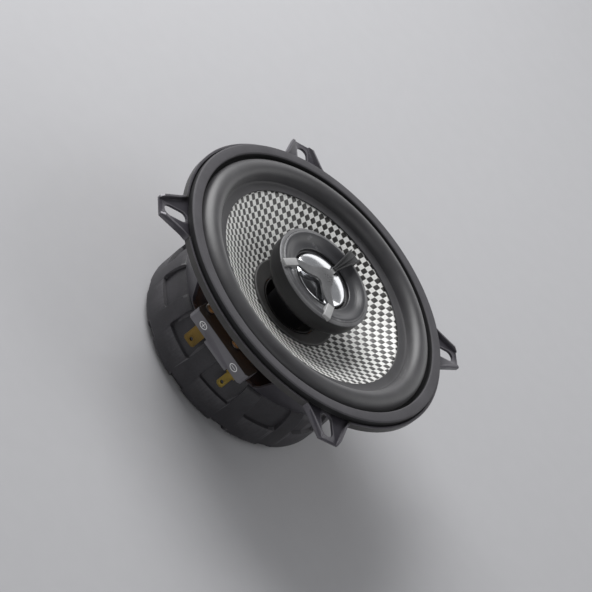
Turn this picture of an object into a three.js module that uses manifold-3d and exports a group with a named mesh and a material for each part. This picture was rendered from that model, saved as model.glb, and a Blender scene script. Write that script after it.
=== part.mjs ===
// A 130 mm two-way coaxial car speaker, built in millimetres.
// +Z points out of the cone towards the listener. The origin is the middle of the flat back.
// The terminal board faces -Y and the four mounting ears lie on the diagonals.

import * as THREE from "three";
import { mergeVertices } from "three/addons/utils/BufferGeometryUtils.js";
import Module from "manifold-3d";

const wasm = await Module();
wasm.setup();

// ---------------------------------------------------------------- driving dimensions
const SIDES = 32; // facets round every large ring, so that neighbouring rings line up
const FINE_SIDES = 24; // facets round the tweeter's small parts
const SHEET = 1; // steel sheet of the basket
const FIT = 0.3; // gap left between touching pieces

const FLANGE_RADIUS = 65;
const FLANGE_BACK_Z = 50;
const FLANGE_FRONT_Z = FLANGE_BACK_Z + SHEET;
const LIP_TOP_Z = 52.6;
const EAR_TIP_RADIUS = 76.3;
const EAR_TIP_HALF_WIDTH = 4.65;
const EAR_NECK_RADIUS = 66.8;
const EAR_NECK_HALF_WIDTH = 9.05;
const EAR_ROOT_HALF_WIDTH = 11.6;
const SLOT_RADIUS = 68.6;
const SLOT_WIDTH = 5.2;
const SLOT_LENGTH = 10.6;

const BASKET_PLATE_Z = 26.3;
const BASKET_PLATE_RADIUS = 43.2;
const BASKET_BORE_RADIUS = 17;
const WALL_TOP_RADIUS = 57.9;
const WINDOW_COUNT = 4;
const WINDOW_HALF_ANGLE = 28;
const WINDOW_BOTTOM_Z = 27.6;
const WINDOW_TOP_Z = 47.6;

const GASKET_FRONT_Z = 55;
const GASKET_INNER_RADIUS = 58.8;
const GASKET_OUTER_RADIUS = 63.4;

const ROLL_RADIUS = 52.6; // middle of the surround's half roll
const ROLL_HALF_WIDTH = 4.8;
const ROLL_HEIGHT = 4.3;
const RUBBER = 0.6;
const SURROUND_Z = FLANGE_FRONT_Z + FIT;

const CONE_EDGE_RADIUS = 47.4;
const CONE_EDGE_Z = 50.2;
const CONE_RADIUS = 43.8;
const CONE_WALL = 0.7;
const NECK_RADIUS = 13.3;
const NECK_Z = 36;
const COLLAR_RADIUS = 20;

const FORMER_INNER_RADIUS = 12.5;
const FORMER_OUTER_RADIUS = 12.9;
const FORMER_BOTTOM_Z = 17.5;
const WINDING_OUTER_RADIUS = 13.8;
const WINDING_Z = [18.5, 28.5];

const SPIDER_OUTER_RADIUS = 30.6;
const SPIDER_Z = 32.7;
const SPIDER_CLOTH = 0.5;
const SPIDER_WAVES = 3;
const SPIDER_WAVE_HEIGHT = 0.9;

const TOP_PLATE_Z = [21, 26];
const TOP_PLATE_RADIUS = 37.5;
const TOP_PLATE_BORE_RADIUS = 14.4;
const MAGNET_Z = [9.3, 20.7];
const MAGNET_RADIUS = 38;
const MAGNET_BORE_RADIUS = 19;
const BACK_PLATE_Z = [4.2, 9];
const BACK_PLATE_RADIUS = 36.5;
const POLE_RADIUS = 11.8;
const POLE_BORE_RADIUS = 3.5;

const BOOT_RADIUS = 44.8;
const BOOT_FRONT_Z = 25;
const BOOT_INNER_RADIUS = 40.2;
const BOOT_FLOOR_Z = 2.2;
const POCKET_COUNT = 12;
const POCKET_HALF_ANGLE = 10.3;
const POCKET_BACK_Z = 13.4;
const NOTCH_HALF_ANGLE = 5;

const BOARD_HALF_WIDTH = 16.2;
const BOARD_OUTER_Y = -47.2;
const BOARD_INNER_Y = -39.4;
const BOARD_Z = [27.7, 33.2];
const SPADE_Y = -46.2;
const SPADE_TIP_Z = 19.6;
const PLUS_SPADE = { x: -8.6, width: 5.8, thickness: 0.8 };
const MINUS_SPADE = { x: 11.4, width: 3.4, thickness: 0.8 };

const POD_FACE_Z = 58;
const POD_SEAT_Z = 54;
const OPENING_Z = 56;
const POD_RADIUS = 22.5;
const POD_CAVITY_RADIUS = 16.2;
const POD_FLOOR_Z = 48;
const STEM_RADIUS = 9.2;
const DOME_RADIUS = 12.3;
const DOME_Z = 55.2;
const DOME_HEIGHT = 2.6;
const DOME_WALL = 0.4;
const BRIDGE_Z = 58.3;
const BRIDGE_TURN = 3.4; // degrees that the bridge is turned from the board's axis
const FAN_TIP_Z = 61;
const POST_RADIUS = 3.1;
const POST_BORE_RADIUS = 2.1;

// ---------------------------------------------------------------- finishes
const finish = (color, roughness, metalness) => () =>
  new THREE.MeshStandardMaterial({ color, roughness, metalness });

const paintedSteel = finish(0x5f5d64, 0.5, 0.4);
const gasketFoam = finish(0x504e52, 0.85, 0);
const rubber = finish(0x4a494c, 0.6, 0);
const bootRubber = finish(0x3f3f43, 0.6, 0);
const wovenGlass = finish(0xa8a8a4, 0.45, 0);
const blackPlastic = finish(0x29292b, 0.45, 0);
const greyPlastic = finish(0x77757c, 0.5, 0);
const satinPlastic = finish(0x5c5b60, 0.4, 0);
const kapton = finish(0x7a4a18, 0.4, 0);
const copper = finish(0xb06a35, 0.35, 0.9);
const spiderCloth = finish(0x5a3412, 0.9, 0);
const platedSteel = finish(0x9a9a9e, 0.35, 0.9);
const ferrite = finish(0x2b2a2c, 0.7, 0.1);
const brass = finish(0x8a6a22, 0.35, 0.9);
const titanium = finish(0xdfe2e6, 0.15, 1);
const sleeve = finish(0x20304a, 0.5, 0);

// ---------------------------------------------------------------- solids
const degrees = (angle) => (angle * Math.PI) / 180;

/** Turns a closed three.js geometry into a solid, with its faces pointing out. */
function solid(geometry) {
  const bare = geometry.index ? geometry.clone() : geometry;
  bare.deleteAttribute("normal");
  bare.deleteAttribute("uv");
  const merged = mergeVertices(bare, 1e-4);
  const positions = merged.attributes.position.array;
  const corners = [];
  let volume = 0;
  for (let i = 0; i < merged.index.count; i += 3) {
    const [a, b, c] = [0, 1, 2].map((k) => merged.index.getX(i + k));
    if (a === b || b === c || c === a) continue;
    corners.push(a, b, c);
    const [p, q, r] = [a, b, c].map((v) => new THREE.Vector3().fromArray(positions, 3 * v));
    volume += p.dot(q.cross(r));
  }
  if (volume < 0) corners.reverse();
  return new wasm.Manifold(
    new wasm.Mesh({
      numProp: 3,
      vertProperties: new Float32Array(positions),
      triVerts: new Uint32Array(corners),
    }),
  );
}

/** A ring, or a disc where the outline reaches the axis: [radius, z] points spun about Z. */
function spun(outline, sides = SIDES) {
  const points = [...outline, outline[0]].map(([r, z]) => new THREE.Vector2(r, z));
  return solid(new THREE.LatheGeometry(points, sides).rotateX(Math.PI / 2));
}

/** A plain tube between two radii and two heights. */
const tube = (inner, outer, [low, high], sides = SIDES) =>
  spun([[inner, low], [outer, low], [outer, high], [inner, high]], sides);

/** A flat outline raised between two heights. */
function raised(points, low, high) {
  const shape = new THREE.Shape(points.map(([x, y]) => new THREE.Vector2(x, y)));
  const geometry = new THREE.ExtrudeGeometry(shape, { depth: high - low, bevelEnabled: false });
  return solid(geometry.translate(0, 0, low));
}

/** An upright round pin, or a cutter for a round hole. */
const pin = (x, y, radius, low, high, sides = 16) =>
  tube(0, radius, [low, high], sides).translate([x, y, 0]);

/** A box given by its lowest and highest corners. */
function box([x0, y0, z0], [x1, y1, z1]) {
  const geometry = new THREE.BoxGeometry(x1 - x0, y1 - y0, z1 - z0);
  return solid(geometry.translate((x0 + x1) / 2, (y0 + y1) / 2, (z0 + z1) / 2));
}

/** A slice of a disc about one direction, used to cut windows, pockets and notches. */
function wedge(angle, halfAngle, radius, low, high) {
  const steps = [-1, -0.5, 0, 0.5, 1];
  const rim = steps.map((step) => {
    const a = degrees(angle + step * halfAngle);
    return [radius * Math.cos(a), radius * Math.sin(a)];
  });
  return raised([[0, 0], ...rim], low, high);
}

/** Points of an arc about (cr, cz), in [radius, z], from one angle to another in degrees. */
function arc(cr, cz, rr, rz, from, to, steps) {
  return Array.from({ length: steps + 1 }, (_, i) => {
    const a = degrees(from + ((to - from) * i) / steps);
    return [cr + rr * Math.cos(a), cz + rz * Math.sin(a)];
  });
}

/** A round wire or tube that follows a route of [x, y, z] points. */
function wire(route, radius, steps, sides = 8) {
  const points = route.map((p) => new THREE.Vector3(...p));
  const path = new THREE.CatmullRomCurve3(points, false, "centripetal");
  const section = new THREE.Shape();
  for (let i = 0; i < sides; i += 1) {
    const a = (2 * Math.PI * i) / sides;
    const point = [radius * Math.cos(a), radius * Math.sin(a)];
    if (i === 0) section.moveTo(...point);
    else section.lineTo(...point);
  }
  return solid(new THREE.ExtrudeGeometry(section, { extrudePath: path, steps }));
}

const joined = (solids) => solids.reduce((whole, next) => whole.add(next));

const around = (count, first, make) =>
  Array.from({ length: count }, (_, i) => make(first + (360 * i) / count, i));

const speaker = new THREE.Group();

/** Adds one named piece to the speaker. */
function place(name, shape, material) {
  const mesh = shape.getMesh();
  const geometry = new THREE.BufferGeometry();
  geometry.setAttribute("position", new THREE.BufferAttribute(mesh.vertProperties, 3));
  geometry.setIndex(new THREE.BufferAttribute(mesh.triVerts, 1));
  geometry.computeVertexNormals();
  const piece = new THREE.Mesh(geometry, material());
  piece.name = name;
  speaker.add(piece);
}

// ---------------------------------------------------------------- basket
/** The flange's outline with its four ears, moved inwards by inset and past the tips by reach. */
function flangeOutline(inset, reach) {
  const radius = FLANGE_RADIUS - inset;
  const root = Math.asin((EAR_ROOT_HALF_WIDTH - inset) / radius);
  const rootRadius = radius * Math.cos(root);
  const flare = new THREE.QuadraticBezierCurve(
    new THREE.Vector2(rootRadius, EAR_ROOT_HALF_WIDTH - inset),
    new THREE.Vector2(EAR_NECK_RADIUS - 1.9, EAR_NECK_HALF_WIDTH + 0.9 - inset),
    new THREE.Vector2(EAR_NECK_RADIUS, EAR_NECK_HALF_WIDTH - inset),
  ).getPoints(4);
  const slope = (EAR_NECK_HALF_WIDTH - EAR_TIP_HALF_WIDTH) / (EAR_TIP_RADIUS - EAR_NECK_RADIUS);
  const side = [
    ...flare.map((p) => [p.x, p.y]),
    [EAR_TIP_RADIUS + reach, EAR_TIP_HALF_WIDTH - inset - slope * reach],
  ];
  const arcSteps = 15;
  return around(4, 45, (angle) => {
    const a = degrees(angle);
    const turned = ([r, w]) => [
      r * Math.cos(a) - w * Math.sin(a),
      r * Math.sin(a) + w * Math.cos(a),
    ];
    const rising = side.map(([r, w]) => turned([r, -w]));
    const falling = [...side].reverse().map(turned);
    const span = Math.PI / 2 - 2 * root;
    const rim = Array.from({ length: arcSteps - 1 }, (_, i) => {
      const b = a + root + (span * (i + 1)) / arcSteps;
      return [radius * Math.cos(b), radius * Math.sin(b)];
    });
    return [...rising, ...falling, ...rim];
  }).flat();
}

/** The long hole through an ear, which a mounting screw goes through. */
function earSlot(angle) {
  const r = SLOT_WIDTH / 2;
  const half = SLOT_LENGTH / 2 - r;
  const ends = [
    ...arc(half, 0, r, r, -90, 90, 6),
    ...arc(-half, 0, r, r, 90, 270, 6),
  ].map(([x, y]) => [x + SLOT_RADIUS, y]);
  return raised(ends, FLANGE_BACK_Z - 1, FLANGE_FRONT_Z + 1).rotate([0, 0, angle]);
}

/** A slanted cut that takes the front corner off the lips at an ear's tip. */
function lipChamfer(angle) {
  const profile = [
    [EAR_TIP_RADIUS - 2.6, LIP_TOP_Z + 0.5],
    [EAR_TIP_RADIUS + 2, LIP_TOP_Z + 0.5],
    [EAR_TIP_RADIUS + 2, FLANGE_FRONT_Z + 0.6],
    [EAR_TIP_RADIUS - 0.1, FLANGE_FRONT_Z + 0.6],
  ];
  const depth = 4 * EAR_TIP_HALF_WIDTH;
  return raised(profile, -depth / 2, depth / 2)
    .rotate([90, 0, 0])
    .rotate([0, 0, angle]);
}

const rivetSpots = around(4, 45, (angle) => {
  const radius = 35;
  return [radius * Math.cos(degrees(angle)), radius * Math.sin(degrees(angle))];
});
const RIVET_RADIUS = 1.5;
const BOARD_PIN_X = [-13.4, 3.2];
const BOARD_PIN_Y = -41.2;

function basket() {
  const flange = raised(flangeOutline(0, 0), FLANGE_BACK_Z, LIP_TOP_Z);
  const trough = raised(flangeOutline(SHEET, 3), FLANGE_FRONT_Z, LIP_TOP_Z + 1);
  const opening = tube(0, WALL_TOP_RADIUS - 0.7, [FLANGE_BACK_Z - 1, FLANGE_FRONT_Z + 1]);
  const plateTop = BASKET_PLATE_Z + SHEET;
  const wall = spun([
    [BASKET_BORE_RADIUS, BASKET_PLATE_Z],
    [BASKET_PLATE_RADIUS, BASKET_PLATE_Z],
    [BASKET_PLATE_RADIUS + 0.9, BASKET_PLATE_Z + 0.5],
    [WALL_TOP_RADIUS, FLANGE_BACK_Z],
    [WALL_TOP_RADIUS, FLANGE_FRONT_Z],
    [WALL_TOP_RADIUS - 1.4, FLANGE_FRONT_Z],
    [BASKET_PLATE_RADIUS - 0.3, plateTop + 0.3],
    [BASKET_PLATE_RADIUS - 0.9, plateTop],
    [BASKET_BORE_RADIUS, plateTop],
  ]);
  const windowRing = tube(BASKET_PLATE_RADIUS - 1.5, FLANGE_RADIUS, [WINDOW_BOTTOM_Z, WINDOW_TOP_Z]);
  const windows = around(WINDOW_COUNT, 0, (angle) =>
    wedge(angle, WINDOW_HALF_ANGLE, 80, WINDOW_BOTTOM_Z, WINDOW_TOP_Z),
  );
  const boardSeat = box(
    [-BOARD_HALF_WIDTH - FIT, -60, WINDOW_BOTTOM_Z - SHEET / 2],
    [BOARD_HALF_WIDTH + FIT, BOARD_INNER_Y + FIT, WINDOW_BOTTOM_Z + 8],
  );
  const leadNotch = box([-2.6, -44.6, BASKET_PLATE_Z - 1], [2.6, -38.4, BASKET_PLATE_Z + 2]);
  const holes = [
    ...rivetSpots.map(([x, y]) => pin(x, y, RIVET_RADIUS + 0.2, BASKET_PLATE_Z - 1, plateTop + 1)),
    ...BOARD_PIN_X.map((x) => pin(x, BOARD_PIN_Y, 1.3, BASKET_PLATE_Z - 1, plateTop + 1)),
  ];
  return flange
    .subtract(trough)
    .subtract(opening)
    .add(wall)
    .subtract(windowRing.intersect(joined(windows)))
    .subtract(boardSeat.subtract(tube(0, 90, [0, plateTop])))
    .subtract(leadNotch)
    .subtract(joined(holes))
    .subtract(joined(around(4, 45, earSlot)))
    .subtract(joined(around(4, 45, lipChamfer)));
}

/** The foam ring that seals the flange to the panel or grille in front of it. */
const gasket = () =>
  tube(GASKET_INNER_RADIUS, GASKET_OUTER_RADIUS, [SURROUND_Z + RUBBER + FIT, GASKET_FRONT_Z]);

// ---------------------------------------------------------------- soft parts of the cone
/** The half roll of rubber that carries the cone's edge, with its flat rims. */
function surround() {
  const crown = SURROUND_Z + RUBBER;
  const landing = CONE_EDGE_Z + FIT;
  return spun([
    [GASKET_OUTER_RADIUS - 0.6, SURROUND_Z],
    [GASKET_OUTER_RADIUS - 0.6, crown],
    ...arc(ROLL_RADIUS, crown, ROLL_HALF_WIDTH, ROLL_HEIGHT, 0, 180, 7),
    [CONE_RADIUS + 0.3, landing + RUBBER],
    [CONE_RADIUS + 0.3, landing],
    [CONE_EDGE_RADIUS + 0.3, landing],
    ...arc(ROLL_RADIUS, SURROUND_Z, ROLL_HALF_WIDTH - RUBBER, ROLL_HEIGHT - 0.1, 180, 0, 7),
  ]);
}

/** Height of the cone's front face at a radius: a gentle flare from neck to edge. */
function coneFront(radius) {
  const share = (radius - NECK_RADIUS) / (CONE_RADIUS - NECK_RADIUS);
  const straight = NECK_Z + (CONE_EDGE_Z - NECK_Z) * share;
  const belly = 1.1 * Math.sin(Math.PI * share);
  return straight - belly;
}

const coneStations = Array.from(
  { length: 7 },
  (_, i) => NECK_RADIUS + ((CONE_RADIUS - NECK_RADIUS) * i) / 6,
);

function cone() {
  return spun([
    ...coneStations.map((r) => [r, coneFront(r)]),
    [CONE_EDGE_RADIUS, CONE_EDGE_Z],
    [CONE_EDGE_RADIUS, CONE_EDGE_Z - CONE_WALL],
    ...[...coneStations].reverse().map((r) => [r, coneFront(r) - CONE_WALL]),
  ]);
}

/** The smooth black ring that joins the cone's neck to the voice coil former. */
function neckCollar() {
  const stations = [NECK_RADIUS, 16, COLLAR_RADIUS];
  return spun([
    ...stations.map((r) => [r, coneFront(r) + 0.2]),
    ...[...stations].reverse().map((r) => [r, coneFront(r) + 0.9]),
  ]);
}

const former = () => tube(FORMER_INNER_RADIUS, FORMER_OUTER_RADIUS, [FORMER_BOTTOM_Z, NECK_Z + 1]);
const winding = () => tube(FORMER_OUTER_RADIUS + 0.1, WINDING_OUTER_RADIUS, WINDING_Z);

/** The waved cloth disc that centres the voice coil. */
function spider() {
  const inner = FORMER_OUTER_RADIUS + 0.2;
  const rims = [inner + 1.4, SPIDER_OUTER_RADIUS - 3];
  const steps = SPIDER_WAVES * 2;
  const waves = Array.from({ length: steps + 1 }, (_, i) => {
    const height = i % 2 === 0 ? 0 : SPIDER_WAVE_HEIGHT;
    return [rims[0] + ((rims[1] - rims[0]) * i) / steps, SPIDER_Z + height];
  });
  const under = [[inner, SPIDER_Z], ...waves, [SPIDER_OUTER_RADIUS, SPIDER_Z]];
  const over = [...under].reverse().map(([r, z]) => [r, z + SPIDER_CLOTH]);
  return spun([...under, ...over]);
}

const spiderRing = () =>
  tube(SPIDER_OUTER_RADIUS - 2.8, SPIDER_OUTER_RADIUS + 0.4, [
    BASKET_PLATE_Z + SHEET + FIT,
    SPIDER_Z - FIT,
  ]);

// ---------------------------------------------------------------- motor
function topPlate() {
  const holes = rivetSpots.map(([x, y]) => pin(x, y, RIVET_RADIUS + 0.2, TOP_PLATE_Z[1] - 3.6, 30));
  return tube(TOP_PLATE_BORE_RADIUS, TOP_PLATE_RADIUS, TOP_PLATE_Z).subtract(joined(holes));
}

/** The back plate and the pole that stands on it, bored through for the tweeter's post. */
function yoke() {
  const nutSeat = 7;
  return spun([
    [nutSeat, BACK_PLATE_Z[0]],
    [BACK_PLATE_RADIUS, BACK_PLATE_Z[0]],
    [BACK_PLATE_RADIUS, BACK_PLATE_Z[1]],
    [POLE_RADIUS, BACK_PLATE_Z[1]],
    [POLE_RADIUS, TOP_PLATE_Z[1]],
    [POLE_BORE_RADIUS, TOP_PLATE_Z[1]],
    [POLE_BORE_RADIUS, BACK_PLATE_Z[0] + 3],
    [nutSeat, BACK_PLATE_Z[0] + 3],
  ]);
}

const magnet = () => tube(MAGNET_BORE_RADIUS, MAGNET_RADIUS, MAGNET_Z);

/** The rubber cover over the magnet, with pockets round its shoulder and notches round its back. */
function boot() {
  const shell = spun([
    [0, 0],
    [BOOT_RADIUS - 3.4, 0],
    [BOOT_RADIUS, 3.6],
    [BOOT_RADIUS, 15],
    [BOOT_RADIUS - 0.5, 20],
    ...arc(BOOT_RADIUS - 3.2, BOOT_FRONT_Z - 3, 2.6, 3, 10, 90, 3),
    [BOOT_INNER_RADIUS, BOOT_FRONT_Z],
    [BOOT_INNER_RADIUS, BOOT_FLOOR_Z],
    [0, BOOT_FLOOR_Z],
  ]);
  const pocketRing = spun([
    [BOOT_RADIUS - 1.6, POCKET_BACK_Z],
    [BOOT_RADIUS - 1.9, 20],
    [BOOT_RADIUS - 3.6, BOOT_FRONT_Z + 0.2],
    [BOOT_RADIUS + 2, BOOT_FRONT_Z + 0.2],
    [BOOT_RADIUS + 2, POCKET_BACK_Z],
  ]);
  const notchRing = spun([
    [BOOT_RADIUS - 5, -1],
    [BOOT_RADIUS - 1.5, 4.4],
    [BOOT_RADIUS + 2, 4.4],
    [BOOT_RADIUS + 2, -1],
  ]);
  const pockets = around(POCKET_COUNT, 15, (angle) => wedge(angle, POCKET_HALF_ANGLE, 60, 10, 30));
  const notches = around(POCKET_COUNT, 0, (angle) => wedge(angle, NOTCH_HALF_ANGLE, 60, -2, 8));
  return shell
    .subtract(pocketRing.intersect(joined(pockets)))
    .subtract(notchRing.intersect(joined(notches)));
}

const plateRivet = ([x, y]) =>
  pin(x, y, RIVET_RADIUS, TOP_PLATE_Z[1] - 3.3, BASKET_PLATE_Z + SHEET + FIT).add(
    pin(x, y, 2.6, BASKET_PLATE_Z + SHEET + FIT, BASKET_PLATE_Z + SHEET + 1.5),
  );

// ---------------------------------------------------------------- terminals
function terminalBoard() {
  const block = box(
    [-BOARD_HALF_WIDTH, BOARD_OUTER_Y, BOARD_Z[0]],
    [BOARD_HALF_WIDTH, BOARD_INNER_Y, BOARD_Z[1]],
  );
  const slots = [PLUS_SPADE, MINUS_SPADE].map(({ x, width, thickness }) =>
    box(
      [x - width / 2 - FIT, SPADE_Y - thickness / 2 - FIT, BOARD_Z[0] - 1],
      [x + width / 2 + FIT, SPADE_Y + thickness / 2 + FIT, BOARD_Z[1] - 1.2],
    ),
  );
  const pinHoles = BOARD_PIN_X.map((x) => pin(x, BOARD_PIN_Y, 1.3, BOARD_Z[0] - 1, BOARD_Z[1] + 1));
  const leadHole = box([-2.4, -41.4, BOARD_Z[0] - 1], [1.4, -38.4, BOARD_Z[0] + 1.6]);
  const tongue = box([-4.6, BOARD_OUTER_Y, BOARD_Z[0] - 1.5], [8.8, BOARD_OUTER_Y + 2, BOARD_Z[0]]);
  return block.add(tongue).subtract(joined([...slots, ...pinHoles, leadHole]));
}

/** A flat blade with a chamfered tip and a small catch hole. */
function spade({ x, width, thickness }) {
  const half = width / 2;
  const outline = [
    [x - half, BOARD_Z[1] - 1.6],
    [x - half, SPADE_TIP_Z + 0.8],
    [x - half + 0.8, SPADE_TIP_Z],
    [x + half - 0.8, SPADE_TIP_Z],
    [x + half, SPADE_TIP_Z + 0.8],
    [x + half, BOARD_Z[1] - 1.6],
  ];
  const catchHole = arc(x, SPADE_TIP_Z + 2.4, 0.75, 0.75, 0, 330, 11);
  const upright = (points, depth) =>
    raised(points, -depth / 2, depth / 2).rotate([90, 0, 0]).translate([0, SPADE_Y, 0]);
  return upright(outline, thickness).subtract(upright(catchHole, 3 * thickness));
}

const boardRivet = (x) =>
  joined([
    pin(x, BOARD_PIN_Y, 1, BASKET_PLATE_Z - 0.1, BOARD_Z[1] + FIT),
    pin(x, BOARD_PIN_Y, 2.1, BOARD_Z[1] + FIT, BOARD_Z[1] + 1.2),
  ]);

/** The small capacitor that keeps low notes from the tweeter, lying behind the board. */
function capacitor() {
  const radius = 2.4;
  const length = 11;
  const can = tube(0, radius, [-length / 2, length / 2], 24);
  const crimp = tube(radius - 0.3, radius + 1, [length / 2 - 2.4, length / 2 - 1.8], 24);
  return can.subtract(crimp).rotate([0, 90, 0]).translate([-1, -35.6, 30.6]);
}

/** A braided lead that bends between the board and the back of the cone. */
function tinselLead(side) {
  const end = coneFront(26) - CONE_WALL - 0.9;
  return wire(
    [
      [side * 10.2, BOARD_INNER_Y + 0.4, 31],
      [side * 10.2, BOARD_INNER_Y + 1.6, 31.6],
      [side * 10, BOARD_INNER_Y + 4.2, 34.8],
      [side * 9.4, -31, 36.6],
      [side * 8.6, -27.2, end - 1.6],
      [side * 8.2, -24.7, end],
    ],
    0.55,
    12,
    6,
  );
}

/** An insulated lead from the tweeter, down its hollow post and round the magnet to the board. */
function tweeterLead(side) {
  const x = side * 1.0;
  const under = 3.2;
  const outside = -39.1;
  return wire(
    [
      [x, 0, 46.6],
      [x, 0, 26],
      [x, 0, 8],
      [x, -0.2, 4.9],
      [x, -1.4, 3.5],
      [x, -4, under],
      [x, -20, under],
      [x, outside + 3.4, under],
      [x, outside + 0.5, under + 0.7],
      [x, outside, under + 3.2],
      [x, outside, 16],
      [x, outside - 0.1, 25],
      [x - 0.5, outside - 1.1, 27],
      [x - 0.5, outside - 1.3, 28.9],
    ],
    0.5,
    26,
    6,
  );
}

// ---------------------------------------------------------------- tweeter
/** The tweeter's body: a rounded pod on a stem that stands on the pole. */
function pod() {
  return spun([
    [POST_RADIUS + FIT, TOP_PLATE_Z[1] + FIT],
    [STEM_RADIUS - 0.6, TOP_PLATE_Z[1] + FIT],
    [STEM_RADIUS - 0.4, 38],
    [STEM_RADIUS, 43],
    ...arc(STEM_RADIUS + 3, 43, 3, 3, 165, 105, 2),
    ...arc(POD_RADIUS - 7, 53.2, 6.9, 6.6, -78, 0, 4),
    [POD_RADIUS, POD_FACE_Z - 1],
    [POD_RADIUS - 0.2, POD_FACE_Z - 0.8],
    [POD_RADIUS - 1.5, POD_FACE_Z - 0.35],
    [POD_RADIUS - 1.5, POD_SEAT_Z],
    [POD_CAVITY_RADIUS, POD_SEAT_Z],
    [POD_CAVITY_RADIUS, POD_FLOOR_Z],
    [POST_RADIUS + FIT, POD_FLOOR_Z],
  ]);
}

/** The dished face ring with a bevelled rim, which holds the dome's suspension down. */
function facePlate() {
  const seat = POD_SEAT_Z + FIT;
  return spun([
    [DOME_RADIUS + 2.4, seat + 0.9],
    [DOME_RADIUS + 3.2, seat],
    [POD_RADIUS - 1.8, seat],
    [POD_RADIUS - 1.8, POD_FACE_Z - 0.3],
    [POD_RADIUS - 2.6, POD_FACE_Z],
    [POD_RADIUS - 4.6, POD_FACE_Z - 0.6],
    [DOME_RADIUS + 4, OPENING_Z + 0.4],
    [DOME_RADIUS + 1.5, OPENING_Z],
  ]);
}

const tweeterCup = () => {
  const outer = POD_CAVITY_RADIUS - FIT;
  return spun([
    [POST_RADIUS + FIT, POD_FLOOR_Z + FIT],
    [outer, POD_FLOOR_Z + FIT],
    [outer, 53.8],
    [DOME_RADIUS + 0.9, 53.8],
    [DOME_RADIUS + 0.9, POD_FLOOR_Z + 1.6],
    [POST_RADIUS + FIT, POD_FLOOR_Z + 1.6],
  ]);
};
const tweeterMagnet = () => tube(0, 10, [POD_FLOOR_Z + 1.9, 51.4], FINE_SIDES);
const tweeterPole = () => tube(0, DOME_RADIUS - 0.9, [51.7, 53], FINE_SIDES);

function tweeterDome() {
  const rise = (r) => DOME_Z + DOME_HEIGHT * (1 - (r / DOME_RADIUS) ** 2) ** 0.6;
  const stations = Array.from({ length: 6 }, (_, i) => DOME_RADIUS * Math.sin((i * Math.PI) / 10));
  const shrink = 1 - DOME_WALL / DOME_RADIUS;
  const inside = [...stations].reverse().slice(1).map((r) => [r * shrink, rise(r) - DOME_WALL]);
  return spun(
    [
      ...stations.map((r) => [r, rise(r)]),
      [DOME_RADIUS, DOME_Z - 0.2],
      [DOME_RADIUS - DOME_WALL, DOME_Z - 0.2],
      ...inside,
    ],
    FINE_SIDES,
  );
}

const tweeterCoil = () => tube(DOME_RADIUS - 0.3, DOME_RADIUS + 0.2, [50.4, DOME_Z - 0.5], FINE_SIDES);

/** The thin half roll round the tweeter's dome. */
function domeSuspension() {
  const inner = DOME_RADIUS + 0.5;
  const height = 54.1;
  return spun(
    [
      [inner, height + 0.3],
      ...arc(inner + 1.2, height + 0.3, 0.8, 0.7, 180, 0, 4),
      [DOME_RADIUS + 3, height + 0.3],
      [DOME_RADIUS + 3, height],
      ...arc(inner + 1.2, height, 0.5, 0.6, 0, 180, 4),
      [inner, height],
    ],
    FINE_SIDES,
  );
}

/** The wishbone over the dome: a hub, two legs with pads on the rim and a raised, flaring fan. */
function bridge() {
  const side = [
    [1.1, 5],
    [1.1, 1.6],
    [2.6, 0.2],
    [4.4, -2.8],
    [6.6, -6.4],
    [12.25, -10.5],
    [9.9, -12.6],
    [5.2, -10.6],
  ];
  const mirrored = (points) => [...points].reverse().map(([x, y]) => [-x, y]);
  const plate = raised([...side, [0, -6.8], ...mirrored(side)], BRIDGE_Z, BRIDGE_Z + 1);
  const pad = [
    [12.25, -10.5],
    [14.6, -16.6],
    [12.05, -18.7],
    [9.9, -12.6],
  ];
  const under = spun([
    [0, OPENING_Z - 1],
    [POD_RADIUS + 1, OPENING_Z - 1],
    [POD_RADIUS + 1, POD_FACE_Z - 1 + FIT],
    [POD_RADIUS, POD_FACE_Z - 1 + FIT],
    [POD_RADIUS - 2.5, POD_FACE_Z + FIT],
    [POD_RADIUS - 4.6, POD_FACE_Z - 0.6 + FIT],
    [DOME_RADIUS + 4, OPENING_Z + 1.4],
    [0, OPENING_Z + 1.4],
  ]);
  const pads = [pad, mirrored(pad)].map((points) =>
    raised(points, OPENING_Z, BRIDGE_Z + 0.7).subtract(under),
  );
  const fanSide = [
    [0.9, 4],
    [2.95, POD_RADIUS - 0.3],
  ];
  const fan = raised([...fanSide, ...mirrored(fanSide)], POD_FACE_Z, FAN_TIP_Z + 1);
  const rise = raised(
    [
      [3, BRIDGE_Z],
      [15, BRIDGE_Z + 0.6],
      [19.2, POD_FACE_Z + FIT],
      [POD_RADIUS - 1.2, POD_FACE_Z + FIT],
      [POD_RADIUS, FAN_TIP_Z - 0.4],
      [POD_RADIUS - 1, FAN_TIP_Z],
      [5, BRIDGE_Z + 1.1],
      [3, BRIDGE_Z + 1],
    ],
    -4,
    4,
  )
    .rotate([90, 0, 0])
    .rotate([0, 0, 90]);
  return joined([plate, ...pads, fan.intersect(rise)]).rotate([0, 0, BRIDGE_TURN]);
}

/** The hollow threaded post that clamps the tweeter to the pole. */
const POST_END_Z = BACK_PLATE_Z[0] + 0.6;
const post = () =>
  tube(POST_BORE_RADIUS, POST_RADIUS, [POST_END_Z, POD_FLOOR_Z + 1.2], FINE_SIDES);
const postNut = () => {
  const span = [POST_END_Z, POST_END_Z + 2.1];
  return tube(0, 6, span, 6).subtract(tube(0, POST_RADIUS + FIT, span, FINE_SIDES));
};

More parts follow.
